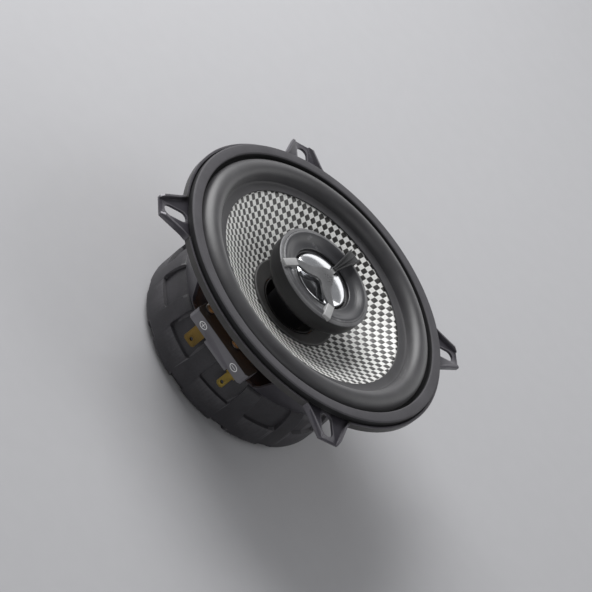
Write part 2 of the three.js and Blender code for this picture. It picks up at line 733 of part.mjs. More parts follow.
// ---------------------------------------------------------------- assembly
place("basket", basket(), paintedSteel);
place("front_gasket", gasket(), gasketFoam);
place("surround", surround(), rubber);
place("cone", cone(), wovenGlass);
place("neck_collar", neckCollar(), blackPlastic);
place("voice_coil_former", former(), kapton);
place("voice_coil_winding", winding(), copper);
place("spider", spider(), spiderCloth);
place("spider_ring", spiderRing(), blackPlastic);
place("top_plate", topPlate(), platedSteel);
place("ferrite_magnet", magnet(), ferrite);
place("back_plate_and_pole", yoke(), platedSteel);
place("magnet_boot", boot(), bootRubber);
rivetSpots.forEach((spot, i) => place(`plate_rivet_${i + 1}`, plateRivet(spot), platedSteel));
place("terminal_board", terminalBoard(), greyPlastic);
place("positive_spade", spade(PLUS_SPADE), brass);
place("negative_spade", spade(MINUS_SPADE), brass);
BOARD_PIN_X.forEach((x, i) => place(`board_rivet_${i + 1}`, boardRivet(x), platedSteel));
place("crossover_capacitor", capacitor(), sleeve);
place("tinsel_lead_positive", tinselLead(-1), copper);
place("tinsel_lead_negative", tinselLead(1), copper);
place("tweeter_lead_positive", tweeterLead(-1), sleeve);
place("tweeter_lead_negative", tweeterLead(1), sleeve);
place("tweeter_post", post(), platedSteel);
place("tweeter_post_nut", postNut(), platedSteel);
place("tweeter_pod", pod(), blackPlastic);
place("tweeter_cup", tweeterCup(), platedSteel);
place("tweeter_magnet", tweeterMagnet(), platedSteel);
place("tweeter_pole_plate", tweeterPole(), platedSteel);
place("tweeter_coil", tweeterCoil(), copper);
place("tweeter_dome", tweeterDome(), titanium);
place("dome_suspension", domeSuspension(), rubber);
place("tweeter_face", facePlate(), satinPlastic);
place("tweeter_bridge", bridge(), satinPlastic);

export default speaker;
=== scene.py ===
"""A 130 mm two-way coaxial car speaker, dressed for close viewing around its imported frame."""

import logging
import math
from dataclasses import dataclass, field
from enum import Enum
from functools import cache
from typing import Callable, Iterable, Sequence

import bmesh
import bpy
import numpy as np
from mathutils import Matrix, Vector

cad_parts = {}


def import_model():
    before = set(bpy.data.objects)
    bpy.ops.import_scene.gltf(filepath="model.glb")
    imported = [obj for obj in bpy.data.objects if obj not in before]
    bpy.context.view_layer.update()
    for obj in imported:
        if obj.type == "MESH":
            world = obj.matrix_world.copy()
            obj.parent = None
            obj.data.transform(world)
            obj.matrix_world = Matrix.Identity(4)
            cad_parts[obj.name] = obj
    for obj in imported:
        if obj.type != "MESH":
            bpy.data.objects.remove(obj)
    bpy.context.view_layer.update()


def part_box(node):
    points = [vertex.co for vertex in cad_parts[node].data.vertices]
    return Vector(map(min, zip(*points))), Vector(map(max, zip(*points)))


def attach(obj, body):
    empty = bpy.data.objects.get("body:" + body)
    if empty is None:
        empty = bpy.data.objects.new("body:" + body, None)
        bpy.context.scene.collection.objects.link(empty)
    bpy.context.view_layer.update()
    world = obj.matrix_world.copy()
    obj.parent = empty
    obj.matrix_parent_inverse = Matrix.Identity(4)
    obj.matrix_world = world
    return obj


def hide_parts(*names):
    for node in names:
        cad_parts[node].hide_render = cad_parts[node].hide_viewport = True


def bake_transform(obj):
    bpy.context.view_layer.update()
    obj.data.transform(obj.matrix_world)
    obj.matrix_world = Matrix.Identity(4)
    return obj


LOG = logging.getLogger("coaxial_speaker")
MM = 0.001
FULL_TURN = 2 * math.pi
UPRIGHT = Matrix.Rotation(math.radians(90), 4, "X")
FRAME = "frame"
CONE = "cone_assembly"
DIAPHRAGM = "tweeter_diaphragm"
Point2 = tuple[float, float]
Socket = bpy.types.NodeSocket


# ------------------------------------------------------------------ finishes
class Pattern(Enum):
    """How a finish's colour is laid over the surface."""

    MOULDED = "moulded"
    BRUSHED = "brushed"
    CLOTH = "cloth"
    WOVEN = "woven"


@dataclass(frozen=True)
class Finish:
    """One surface finish: its colours, its gloss and its fine relief."""

    name: str
    base: tuple[float, float, float]
    shade: tuple[float, float, float]
    roughness: float
    metallic: float = 0.0
    grain_mm: float = 0.6
    relief: float = 0.08
    relief_mm: float = 0.02
    wear: float = 0.25
    wear_tint: tuple[float, float, float] = (0.30, 0.30, 0.31)
    coat: float = 0.0
    sheen: float = 0.0
    pattern: Pattern = Pattern.MOULDED

    @cache
    def material(self) -> bpy.types.Material:
        """Build this finish once and hand back the same material afterwards.

        Returns:
            The node material of this finish.
        """
        material = bpy.data.materials.new(f"finish_{self.name}")
        material.use_nodes = True
        Painter(material.node_tree).paint(self)
        return material


class Painter:
    """Lays a finish's nodes out in one material's node tree."""

    def __init__(self, tree: bpy.types.NodeTree) -> None:
        """Start from the tree's own shader and add the object's coordinates.

        Args:
            tree: The node tree to fill.
        """
        self.tree = tree
        self.shader = tree.nodes["Principled BSDF"]
        self.place = self.node("ShaderNodeTexCoord").outputs["Object"]

    def node(self, kind: str, **settings: object) -> bpy.types.Node:
        """Add a node.

        Args:
            kind: The node's type name.
            **settings: Properties to set on it.

        Returns:
            The new node.
        """
        made = self.tree.nodes.new(kind)
        for key, value in settings.items():
            setattr(made, key, value)
        return made

    def link(self, source: Socket, target: Socket) -> None:
        """Join two sockets."""
        self.tree.links.new(source, target)

    def math(self, operation: str, *values: object) -> Socket:
        """Add a math node whose inputs are numbers or sockets.

        Args:
            operation: The math node's operation.
            *values: Numbers or output sockets, in order.

        Returns:
            The result's socket.
        """
        made = self.node("ShaderNodeMath", operation=operation)
        for slot, value in zip(made.inputs, values):
            if isinstance(value, Socket):
                self.link(value, slot)
            else:
                slot.default_value = value
        return made.outputs[0]

    def noise(self, size_mm: float, detail: float = 4,
              stretch: Sequence[float] = (1, 1, 1)) -> Socket:
        """Add cloudy noise with features of about a given size.

        Args:
            size_mm: Size of the features in millimetres.
            detail: Octaves of finer noise.
            stretch: Scale along each axis.

        Returns:
            The noise value's socket.
        """
        mapping = self.node("ShaderNodeMapping")
        mapping.inputs["Scale"].default_value = stretch
        self.link(self.place, mapping.inputs["Vector"])
        made = self.node("ShaderNodeTexNoise")
        made.inputs["Scale"].default_value = 1 / (size_mm * MM)
        made.inputs["Detail"].default_value = detail
        self.link(mapping.outputs["Vector"], made.inputs["Vector"])
        return made.outputs["Fac"]

    def band(self, value: Socket, low: float, high: float) -> Socket:
        """Stretch a value's range to 0 to 1, with soft ends.

        Args:
            value: The value to stretch.
            low: What becomes 0.
            high: What becomes 1.

        Returns:
            The stretched value's socket.
        """
        made = self.node("ShaderNodeMapRange", interpolation_type="SMOOTHSTEP")
        made.inputs["From Min"].default_value = low
        made.inputs["From Max"].default_value = high
        self.link(value, made.inputs["Value"])
        return made.outputs["Result"]

    def mix(self, share: Socket, first: object, second: object) -> Socket:
        """Mix two colours.

        Args:
            share: How much of the second colour shows.
            first: A colour or a colour socket.
            second: A colour or a colour socket.

        Returns:
            The mixed colour's socket.
        """
        made = self.node("ShaderNodeMix", data_type="RGBA")
        self.link(share, made.inputs["Factor"])
        for name, value in (("A", first), ("B", second)):
            slot = next(s for s in made.inputs if s.name == name and s.type == "RGBA")
            if isinstance(value, Socket):
                self.link(value, slot)
            else:
                slot.default_value = (*value, 1)
        return next(s for s in made.outputs if s.type == "RGBA")

    def bump(self, height: Socket, strength: float, depth_mm: float) -> Socket:
        """Add relief from a height.

        Args:
            height: The height's socket, 0 to 1.
            strength: How strongly it shows.
            depth_mm: Depth of the relief in millimetres.

        Returns:
            The normal's socket.
        """
        made = self.node("ShaderNodeBump")
        made.inputs["Strength"].default_value = strength
        made.inputs["Distance"].default_value = depth_mm * MM
        self.link(height, made.inputs["Height"])
        return made.outputs["Normal"]

    def roughen(self, value: Socket, low: float, high: float) -> None:
        """Let a value drive the shader's roughness.

        Args:
            value: The value, 0 to 1.
            low: Roughness where it is 0.
            high: Roughness where it is 1.
        """
        made = self.node("ShaderNodeMapRange")
        made.inputs["To Min"].default_value = max(0.03, low)
        made.inputs["To Max"].default_value = min(1.0, high)
        self.link(value, made.inputs["Value"])
        self.link(made.outputs["Result"], self.shader.inputs["Roughness"])

    def edges(self) -> Socket:
        """Find outward edges, broken up by noise, where a finish wears first."""
        point = self.node("ShaderNodeNewGeometry").outputs["Pointiness"]
        broken = self.math("ADD", point, self.math("MULTIPLY", self.noise(1.5), 0.02))
        return self.band(broken, 0.525, 0.56)

    def paint(self, finish: Finish) -> None:
        """Dress the shader as the finish says.

        Args:
            finish: The finish to lay out.
        """
        shader = self.shader.inputs
        shader["Metallic"].default_value = finish.metallic
        shader["Coat Weight"].default_value = finish.coat
        shader["Coat Roughness"].default_value = 0.18
        shader["Sheen Weight"].default_value = finish.sheen
        if finish.pattern is Pattern.WOVEN:
            self.weave(finish)
            return
        clouds = self.noise(9.0, 3)
        stretch = (1, 1, 14) if finish.pattern is Pattern.BRUSHED else (1, 1, 1)
        grain = self.noise(finish.grain_mm, 5, stretch)
        mottled = self.math("ADD", self.math("MULTIPLY", clouds, 0.6), self.math("MULTIPLY", grain, 0.4))
        colour = self.mix(self.band(mottled, 0.35, 0.68), finish.shade, finish.base)
        if finish.pattern is Pattern.CLOTH:
            colour, grain = self.cloth(finish, colour)
        worn = self.math("MULTIPLY", self.edges(), finish.wear)
        colour = self.mix(worn, colour, finish.wear_tint)
        self.link(colour, shader["Base Color"])
        self.roughen(mottled, finish.roughness - 0.07, finish.roughness + 0.09)
        self.link(self.bump(grain, finish.relief, finish.relief_mm), shader["Normal"])

    def cloth(self, finish: Finish, colour: Socket) -> tuple[Socket, Socket]:
        """Lay a fine square cloth over a colour, darker in its dips as painted shade.

        Args:
            finish: The cloth's finish; its grain is the yarn pitch.
            colour: The colour underneath.

        Returns:
            The cloth's colour and its height.
        """
        split = self.node("ShaderNodeSeparateXYZ")
        self.link(self.place, split.inputs[0])
        pitch = FULL_TURN / (finish.grain_mm * MM)
        across = self.math("SINE", self.math("MULTIPLY", split.outputs["X"], pitch))
        along = self.math("SINE", self.math("MULTIPLY", split.outputs["Y"], pitch))
        height = self.math("ADD", self.math("MULTIPLY", self.math("MULTIPLY", across, along), 0.5), 0.5)
        # Painted shade: the colour goes to the finish's shade where the cloth's height is low.
        return self.mix(self.band(height, 0.1, 0.9), finish.shade, colour), height

    def weave(self, finish: Finish) -> None:
        """Paint a plain weave of pale and dark yarns that cross over and under.

        Args:
            finish: The weave's finish; its grain is the yarn pitch.
        """
        mapping = self.node("ShaderNodeMapping")
        mapping.inputs["Rotation"].default_value = (0, 0, Weave.TURN)
        mapping.inputs["Scale"].default_value = (1 / (finish.grain_mm * MM),) * 3
        self.link(self.place, mapping.inputs["Vector"])
        split = self.node("ShaderNodeSeparateXYZ")
        self.link(mapping.outputs["Vector"], split.inputs[0])
        cells = [self.math("FLOOR", split.outputs[axis]) for axis in ("X", "Y")]
        spots = [self.math("FRACT", split.outputs[axis]) for axis in ("X", "Y")]
        under = self.math("FLOORED_MODULO", self.math("ADD", *cells), 2.0)
        offsets = [self.math("ABSOLUTE", self.math("SUBTRACT", s, 0.5)) for s in spots]
        # Each dark spot is a rounded block inside its cell, with pale yarns around it.
        block = [self.math("POWER", self.math("DIVIDE", o, reach), 6.0)
                 for o, reach in zip(offsets, Weave.SPOT)]
        spot = self.band(self.math("ADD", *block), 1.1, 0.6)
        dark = self.math("MULTIPLY", under, spot)
        streak_y = self.noise(0.16, 3, (1, 0.12, 0.4))
        streak_x = self.noise(0.16, 3, (0.12, 1, 0.4))
        pale_colour = self.mix(self.band(streak_y, 0.3, 0.65), Weave.PALE_STREAK, finish.base)
        # Painted shade: the pale yarns darken towards each cell's edge, where the yarns meet.
        crevice_shade = self.math("MAXIMUM", *[self.band(o, 0.44, 0.50) for o in offsets])
        pale_colour = self.mix(self.math("MULTIPLY", crevice_shade, 0.45), pale_colour, Weave.CREVICE_SHADE)
        dark_colour = self.mix(self.band(streak_x, 0.3, 0.75), finish.shade, Weave.DARK_STREAK)
        colour = self.mix(dark, pale_colour, dark_colour)
        self.link(colour, self.shader.inputs["Base Color"])
        self.roughen(streak_y, finish.roughness - 0.08, finish.roughness + 0.10)
        threads = self.math("MAXIMUM", streak_x, streak_y)
        self.link(self.bump(threads, finish.relief, finish.relief_mm), self.shader.inputs["Normal"])


GASKET = Finish(
    "gasket_foam", (0.070, 0.067, 0.075), (0.052, 0.050, 0.056), 0.72, grain_mm=0.35, relief=0.25,
    relief_mm=0.05, wear=0.1
)
SURROUND = Finish(
    "surround_rubber", (0.050, 0.049, 0.053), (0.036, 0.035, 0.038), 0.42, grain_mm=0.25, relief=0.16,
    relief_mm=0.02, wear=0.0, sheen=0.15
)
BASKET = Finish(
    "basket_paint", (0.060, 0.056, 0.068), (0.043, 0.040, 0.049), 0.34, metallic=0.35, grain_mm=0.30,
    relief=0.10, relief_mm=0.015, wear=0.22, wear_tint=(0.35, 0.34, 0.36)
)
BOOT = Finish(
    "boot_rubber", (0.036, 0.034, 0.039), (0.021, 0.020, 0.023), 0.50, grain_mm=0.5, relief=0.22,
    relief_mm=0.04, wear=0.35, wear_tint=(0.16, 0.155, 0.165)
)
CONE_WEAVE = Finish(
    "woven_cone", (0.88, 0.88, 0.86), (0.018, 0.017, 0.016), 0.36, grain_mm=2.08, relief=0.35,
    relief_mm=0.03, wear=0.0, pattern=Pattern.WOVEN
)
# Brown of the cone's back, raised well above its own to stand in for light that does not reach inside the
# basket: painted light.
CONE_BACK_PAINTED_LIGHT = Finish(
    "cone_back_painted_light", (0.80, 0.38, 0.10), (0.62, 0.28, 0.07), 0.7, grain_mm=1.0, relief=0.2,
    pattern=Pattern.CLOTH, wear=0.0
)
COLLAR = Finish(
    "collar_black", (0.048, 0.046, 0.045), (0.032, 0.031, 0.031), 0.55, grain_mm=0.4, relief=0.15,
    wear=0.05
)
POD = Finish(
    "pod_plastic", (0.012, 0.0115, 0.013), (0.008, 0.008, 0.009), 0.38, grain_mm=0.3, relief=0.10,
    wear=0.12
)
FACE = Finish(
    "face_satin", (0.048, 0.048, 0.052), (0.036, 0.036, 0.040), 0.33, grain_mm=0.22, relief=0.15,
    relief_mm=0.02, wear=0.15
)
# The tweeter's bevelled rim: frosted, its light grey standing in for the light the bevel catches (painted
# highlight).
RIM = Finish(
    "rim_frost_and_painted_highlight", (0.155, 0.155, 0.16), (0.085, 0.085, 0.09), 0.45, metallic=0.4, grain_mm=0.5,
    relief=0.30, relief_mm=0.03, wear=0.2, wear_tint=(0.5, 0.5, 0.5)
)
# The bridge's pads: frosted, their light grey standing in for the light they catch (painted highlight).
PAD = Finish(
    "pad_frost_and_painted_highlight", (0.40, 0.40, 0.40), (0.30, 0.30, 0.30), 0.50, metallic=0.2, grain_mm=0.4,
    relief=0.25, wear=0.15, wear_tint=(0.6, 0.6, 0.6)
)
FAN = Finish(
    "fan_black", (0.014, 0.014, 0.015), (0.009, 0.009, 0.010), 0.35, grain_mm=0.3, relief=0.10,
    wear=0.03
)
DOME = Finish(
    "dome_metal", (0.88, 0.89, 0.91), (0.80, 0.81, 0.83), 0.13, metallic=1.0, grain_mm=0.8,
    relief=0.03, relief_mm=0.01, wear=0.0
)
TERMINAL = Finish(
    "board_plastic", (0.128, 0.122, 0.137), (0.100, 0.095, 0.108), 0.42, grain_mm=0.4, relief=0.12,
    wear=0.25, wear_tint=(0.3, 0.3, 0.31)
)
# Near-black painted shade for the board's front, which faces the flange and lies in its shadow.
TERMINAL_SHADE = Finish(
    "board_front_painted_shade", (0.016, 0.015, 0.015), (0.010, 0.010, 0.010), 0.45, grain_mm=0.4, relief=0.10,
    wear=0.08
)
MARK = Finish(
    "mark_white", (0.88, 0.88, 0.88), (0.78, 0.78, 0.78), 0.5, grain_mm=0.2, relief=0.1, wear=0.0
)
BRASS = Finish(
    "spade_brass", (0.17, 0.095, 0.018), (0.095, 0.052, 0.010), 0.30, metallic=0.85, grain_mm=0.35,
    relief=0.15, relief_mm=0.015, wear=0.10, wear_tint=(0.72, 0.58, 0.22), pattern=Pattern.BRUSHED
)
STEEL = Finish(
    "plated_steel", (0.56, 0.55, 0.53), (0.42, 0.41, 0.40), 0.30, metallic=1.0, grain_mm=0.4,
    relief=0.12, wear=0.3, wear_tint=(0.8, 0.8, 0.8), pattern=Pattern.BRUSHED
)
FERRITE = Finish(
    "ferrite_ceramic", (0.045, 0.043, 0.043), (0.03, 0.03, 0.03), 0.75, grain_mm=0.2, relief=0.35,
    wear=0.2
)
COPPER = Finish(
    "copper_wire", (0.62, 0.27, 0.12), (0.45, 0.18, 0.07), 0.30, metallic=0.9, grain_mm=0.3,
    relief=0.3, relief_mm=0.05, wear=0.0
)
BRASS_PALE = Finish(
    "spade_pale_brass", (0.30, 0.21, 0.040), (0.18, 0.12, 0.020), 0.30, metallic=0.85, grain_mm=0.35,
    relief=0.15, relief_mm=0.015, wear=0.10, wear_tint=(0.72, 0.58, 0.22), pattern=Pattern.BRUSHED
)
# The flange's outer edge: a darker, greyer copy of the basket paint as painted shade, its warm edge tint a
# painted highlight.
FLANGE_EDGE_SHADE = Finish(
    "flange_edge_painted_shade", (0.052, 0.052, 0.053), (0.038, 0.038, 0.039), 0.40, metallic=0.3,
    grain_mm=0.30, relief=0.10, relief_mm=0.015, wear=0.06, wear_tint=(0.30, 0.27, 0.22)
)
# The coil former's own black; on the tweeter's coil the same black is painted shade.
FORMER_AND_GAP_SHADE = Finish(
    "former_black_and_gap_shade", (0.014, 0.013, 0.012), (0.010, 0.009, 0.009), 0.5, grain_mm=0.5, relief=0.05,
    wear=0.0
)
# Near-black painted shade for the walls of the gaps beside the gasket; the dark flag over the speaker uses
# it too.
SHADOW = Finish(
    "gap_shade_and_flag_black", (0.012, 0.012, 0.013), (0.008, 0.008, 0.009), 0.7, grain_mm=0.4, relief=0.15,
    wear=0.0
)
SATIN = Finish(
    "bridge_satin", (0.26, 0.26, 0.265), (0.19, 0.19, 0.195), 0.28, metallic=0.6, grain_mm=0.5,
    relief=0.05, wear=0.2, wear_tint=(0.35, 0.35, 0.35)
)
# The spider's orange is raised above its own to stand in for light that does not reach inside the basket:
# painted light.
SPIDER_PAINTED_LIGHT = Finish(
    "spider_cloth", (0.48, 0.21, 0.055), (0.30, 0.12, 0.03), 0.85, grain_mm=0.55, relief=0.5,
    relief_mm=0.08, wear=0.0, sheen=0.2, pattern=Pattern.CLOTH
)
SLEEVE = Finish(
    "capacitor_sleeve", (0.03, 0.05, 0.14), (0.02, 0.035, 0.10), 0.28, grain_mm=0.4, relief=0.05,
    wear=0.1, coat=0.3
)
LEAD = Finish(
    "lead_insulation", (0.03, 0.03, 0.032), (0.02, 0.02, 0.022), 0.45, grain_mm=0.3, relief=0.1,
    wear=0.0
)


# ------------------------------------------------------------------ shaping
class Weave:
    """The weave's pitch in millimetres, turn about the axis, spots' half sizes in pitches, and colours,
    with the painted shade where yarns meet.
    """

    PITCH = 2.08
    TURN = math.radians(4)
    SPOT = (0.51, 0.51)
    PALE_STREAK = (0.70, 0.70, 0.68)
    DARK_STREAK = (0.060, 0.058, 0.056)
    CREVICE_SHADE = (0.20, 0.20, 0.19)


def arc(centre: Point2, radii: Point2, start: float, end: float, steps: int) -> list[Point2]:
    """Points along an elliptic arc in a profile.

    Args:
        centre: The arc's centre, radius and height.
        radii: Its two half-widths.
        start: First angle in degrees.
        end: Last angle in degrees.
        steps: How many stretches it has.

    Returns:
        The points, from start to end.
    """
    turns = [math.radians(start + (end - start) * i / steps) for i in range(steps + 1)]
    return [(centre[0] + radii[0] * math.cos(t), centre[1] + radii[1] * math.sin(t)) for t in turns]


def flowing(points: Sequence[Point2], steps: int = 6) -> list[Point2]:
    """Draw a smooth line through some points.

    Args:
        points: The points, in order.
        steps: Stretches between two neighbours.

    Returns:
        The points of the smooth line, ends included.
    """
    spots = [Vector(point) for point in points]
    spots = [spots[0] * 2 - spots[1], *spots, spots[-1] * 2 - spots[-2]]
    line = []
    for a, b, c, d in zip(spots, spots[1:], spots[2:], spots[3:]):
        for i in range(steps):
            t = i / steps
            line.append(tuple((b * 2 + (c - a) * t + (a * 2 - b * 5 + c * 4 - d) * t ** 2
                               + (b * 3 - a - c * 3 + d) * t ** 3) / 2))
    return [*line, tuple(spots[-2])]


def polar(radius: float, degrees: float, height: float = 0.0) -> Vector:
    """A point at a radius and bearing about the speaker's axis."""
    turn = math.radians(degrees)
    return Vector((radius * math.cos(turn), radius * math.sin(turn), height))


@dataclass(frozen=True)
class Span:
    """A frame node's place in millimetres: its lowest and highest corners."""

    low: Vector
    high: Vector

    @classmethod
    def of(cls, node: str) -> "Span":
        """Read a frame node's box."""
        low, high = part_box(node)
        return cls(low / MM, high / MM)

    @property
    def radius(self) -> float:
        """The widest reach across the axis."""
        return max(self.high.x, -self.low.x)


class Shape:
    """A mesh being modelled in millimetres, which ends as one finished piece."""

    def __init__(self) -> None:
        """Start empty."""
        self.bm = bmesh.new()

    @classmethod
    def turned(cls, outline: Sequence[Point2], steps: int = 192, round_mm: float = 0.0,
               sweep: float = 360.0, start: float = 0.0, segments: int = 2) -> "Shape":
        """Turn a closed outline about the speaker's axis.

        Args:
            outline: Corners as radius and height.
            steps: Stretches around the sweep.
            round_mm: Size of the rounding on each corner off the axis.
            sweep: Degrees to turn through.
            start: Bearing of the first section in degrees.
            segments: Stretches in each rounding.

        Returns:
            The turned solid.
        """
        shape = cls()
        bm = shape.bm
        corners = [bm.verts.new(polar(r, start, z)) for r, z in outline]
        bm.faces.new(corners)
        if round_mm:
            shape.round_corners([v for v in corners if v.co.xy.length > 0.01], round_mm, segments)
        full = sweep == 360.0
        geometry: list[object] = bm.faces[:] + bm.edges[:] + bm.verts[:]
        if full:
            bmesh.ops.delete(bm, geom=bm.faces[:], context="FACES_ONLY")
            on_axis = [e for e in bm.edges if all(v.co.xy.length < 0.01 for v in e.verts)]
            bmesh.ops.delete(bm, geom=on_axis, context="EDGES")
            geometry = bm.edges[:] + bm.verts[:]
        bmesh.ops.spin(bm, geom=geometry, cent=(0, 0, 0), axis=(0, 0, 1), steps=steps,
                       angle=math.radians(sweep), use_merge=full, use_duplicate=False)
        return shape.cleaned()

    @classmethod
    def slab(cls, outline: Iterable[Point2], low: float, high: float,
             round_mm: float = 0.0, segments: int = 3) -> "Shape":
        """Raise a plan outline into a slab.

        Args:
            outline: Corners in plan.
            low: Height of its underside.
            high: Height of its top.
            round_mm: Rounding of the upright corners.
            segments: Stretches in each rounding.

        Returns:
            The slab.
        """
        shape = cls()
        bm = shape.bm
        corners = [bm.verts.new((x, y, low)) for x, y in outline]
        bm.faces.new(corners)
        if round_mm:
            shape.round_corners(corners, round_mm, segments)
        raised = bmesh.ops.extrude_face_region(bm, geom=bm.faces[:])
        bmesh.ops.translate(bm, vec=(0, 0, high - low),
                            verts=[g for g in raised["geom"] if isinstance(g, bmesh.types.BMVert)])
        return shape.cleaned()

    @classmethod
    def block(cls, low: Sequence[float], high: Sequence[float], round_mm: float = 0.0) -> "Shape":
        """Make a block between two corners, with rounded edges.

        Args:
            low: Lowest corner.
            high: Highest corner.
            round_mm: Rounding of every edge.

        Returns:
            The block.
        """
        shape = cls.slab([(low[0], low[1]), (high[0], low[1]), (high[0], high[1]), (low[0], high[1])],
                         low[2], high[2])
        return shape.soften(round_mm) if round_mm else shape

    @classmethod
    def tube(cls, path: Sequence[Sequence[float]], radius: float, sides: int = 14) -> "Shape":
        """Sweep a round section along a smooth path.

        Args:
            path: Points the centreline goes through.
            radius: Radius of the section.
            sides: Sides of the section.

        Returns:
            The tube, closed at both ends.
        """
        curve = bpy.data.curves.new("sweep", "CURVE")
        curve.dimensions = "3D"
        curve.bevel_depth = radius
        curve.bevel_resolution = max(1, sides // 4 - 1)
        curve.use_fill_caps = True
        curve.resolution_u = 8
        spline = curve.splines.new("NURBS")
        spline.points.add(len(path) - 1)
        for point, place in zip(spline.points, path):
            point.co = (*place, 1)
        spline.order_u = 3
        spline.use_endpoint_u = True
        holder = bpy.data.objects.new("sweep", curve)
        shape = cls()
        bpy.context.scene.collection.objects.link(holder)
        depsgraph = bpy.context.evaluated_depsgraph_get()
        swept = bpy.data.meshes.new_from_object(holder.evaluated_get(depsgraph))
        shape.bm.from_mesh(swept)
        bpy.data.objects.remove(holder)
        bpy.data.curves.remove(curve)
        bpy.data.meshes.remove(swept)
        return shape.cleaned()

    def round_corners(self, corners: Sequence[bmesh.types.BMVert], size: float, segments: int) -> None:
        """Round some corners of a flat outline.

        Args:
            corners: The vertices to round.
            size: Size of the rounding.
            segments: Stretches in each rounding.
        """
        bmesh.ops.bevel(self.bm, geom=list(corners), offset=size, offset_type="OFFSET",
                        affect="VERTICES", segments=segments, profile=0.5, material=-1,
                        clamp_overlap=True)

    def cleaned(self) -> "Shape":
        """Merge doubles, drop empty faces and turn every face outwards."""
        bmesh.ops.remove_doubles(self.bm, verts=self.bm.verts[:], dist=0.0005)
        bmesh.ops.dissolve_degenerate(self.bm, edges=self.bm.edges[:], dist=0.0005)
        bmesh.ops.recalc_face_normals(self.bm, faces=self.bm.faces[:])
        return self

    def soften(self, size: float, segments: int = 2, sharper_than: float = 35.0,
               where: Callable[[bmesh.types.BMEdge], bool] = lambda edge: True) -> "Shape":
        """Round the sharp edges.

        Args:
            size: Size of the rounding.
            segments: Stretches in each rounding.
            sharper_than: Least angle in degrees between two faces.
            where: Which edges may be rounded.

        Returns:
            This shape.
        """
        limit = math.radians(sharper_than)
        sharp = [e for e in self.bm.edges if e.is_manifold and e.calc_face_angle(0) > limit and where(e)]
        bmesh.ops.bevel(self.bm, geom=sharp, offset=size, offset_type="OFFSET", affect="EDGES",
                        segments=segments, profile=0.5, material=-1, clamp_overlap=True,
                        miter_outer="ARC", miter_inner="ARC", loop_slide=True)
        return self.cleaned()

    def moved(self, matrix: Matrix) -> "Shape":
        """Place this shape by a matrix."""
        bmesh.ops.transform(self.bm, matrix=matrix, verts=self.bm.verts[:])
        return self

    def copies(self, places: Iterable[Matrix]) -> "Shape":
        """Repeat this shape, once at each place.

        Args:
            places: A matrix for each copy.

        Returns:
            One shape that holds every copy.
        """
        held = self.mesh("copy")
        many = Shape()
        for matrix in places:
            before = set(many.bm.verts)
            many.bm.from_mesh(held)
            fresh = [v for v in many.bm.verts if v not in before]
            bmesh.ops.transform(many.bm, matrix=matrix, verts=fresh)
        bpy.data.meshes.remove(held)
        return many

    def ring_of(self, count: int, first: float = 0.0) -> "Shape":
        """Repeat this shape evenly about the axis."""
        turns = [math.radians(first + 360 * i / count) for i in range(count)]
        return self.copies([Matrix.Rotation(turn, 4, "Z") for turn in turns])

    def add(self, *others: "Shape") -> "Shape":
        """Put other shapes in with this one, without joining their surfaces."""
        for other in others:
            held = other.mesh("added")
            self.bm.from_mesh(held)
            bpy.data.meshes.remove(held)
        return self

    def mesh(self, name: str) -> bpy.types.Mesh:
        """Copy this shape into a mesh, still in millimetres."""
        made = bpy.data.meshes.new(name)
        self.bm.to_mesh(made)
        return made

    def combine(self, operation: str, *others: "Shape") -> "Shape":
        """Cut or join solids.

        Args:
            operation: DIFFERENCE, UNION or INTERSECT.
            *others: The solids, one after another.

        Returns:
            This shape, changed.
        """
        base = bpy.data.objects.new("base", self.mesh("base"))
        bpy.context.scene.collection.objects.link(base)
        tools = []
        for other in others:
            tool = bpy.data.objects.new("tool", other.mesh("tool"))
            bpy.context.scene.collection.objects.link(tool)
            modifier = base.modifiers.new("cut", "BOOLEAN")
            modifier.operation = operation
            modifier.object = tool
            modifier.solver = "EXACT"
            tools.append(tool)
        depsgraph = bpy.context.evaluated_depsgraph_get()
        result = bpy.data.meshes.new_from_object(base.evaluated_get(depsgraph))
        self.bm.clear()
        self.bm.from_mesh(result)
        for spent in [base, *tools]:
            bpy.data.meshes.remove(spent.data)
        bpy.data.meshes.remove(result)
        return self.cleaned()

    def cut(self, *others: "Shape") -> "Shape":
        """Take other solids out of this one."""
        return self.combine("DIFFERENCE", *others)

    def join(self, *others: "Shape") -> "Shape":
        """Make this solid and others one."""
        return self.combine("UNION", *others)


@dataclass(frozen=True)
class Ride:
    """What a piece moves with: one body, or two bodies with a weighing across a span that is never applied.
    """

    body: str
    onto: str = ""
    weigh: Callable[[np.ndarray], np.ndarray] = field(default=lambda points: points[:, 0] * 0)

    def apply(self, piece: bpy.types.Object) -> None:
        """Tie a piece to its body; with a second body, only bake its place and weigh its points, and the
        weights go unused.

        Args:
            piece: The finished piece.
        """
        if not self.onto:
            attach(piece, self.body)
            return
        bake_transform(piece)
        points = np.array([v.co for v in piece.data.vertices], float) / MM
        weights = self.weigh(points).astype(np.float32)


def runs_outwards(edge: bmesh.types.BMEdge) -> bool:
    """Whether an edge runs straight away from the speaker's axis."""
    first, last = (v.co for v in edge.verts)
    aside = first.xy.normalized().cross(last.xy.normalized())
    return abs(first.xy.length - last.xy.length) > 2 and abs(aside) < 0.01


def smooth_step(value: np.ndarray) -> np.ndarray:
    """Ease values from 0 to 1 and hold them there."""
    held = np.clip(value, 0, 1)
    return held * held * (3 - 2 * held)


def radial_ride(body: str, onto: str, fixed: float, moving: float) -> Ride:
    """Make a ride that weighs points by radius, from one body at one radius to another at the other; the
    weights go unused.

    Args:
        body: The body it stays with.
        onto: The body it goes with.
        fixed: Radius where it stays.
        moving: Radius where it goes along.

    Returns:
        The ride.
    """
    def weigh(points: np.ndarray) -> np.ndarray:
        """Weigh each point by its radius."""
        return smooth_step((np.hypot(points[:, 0], points[:, 1]) - fixed) / (moving - fixed))

    return Ride(body, onto, weigh)


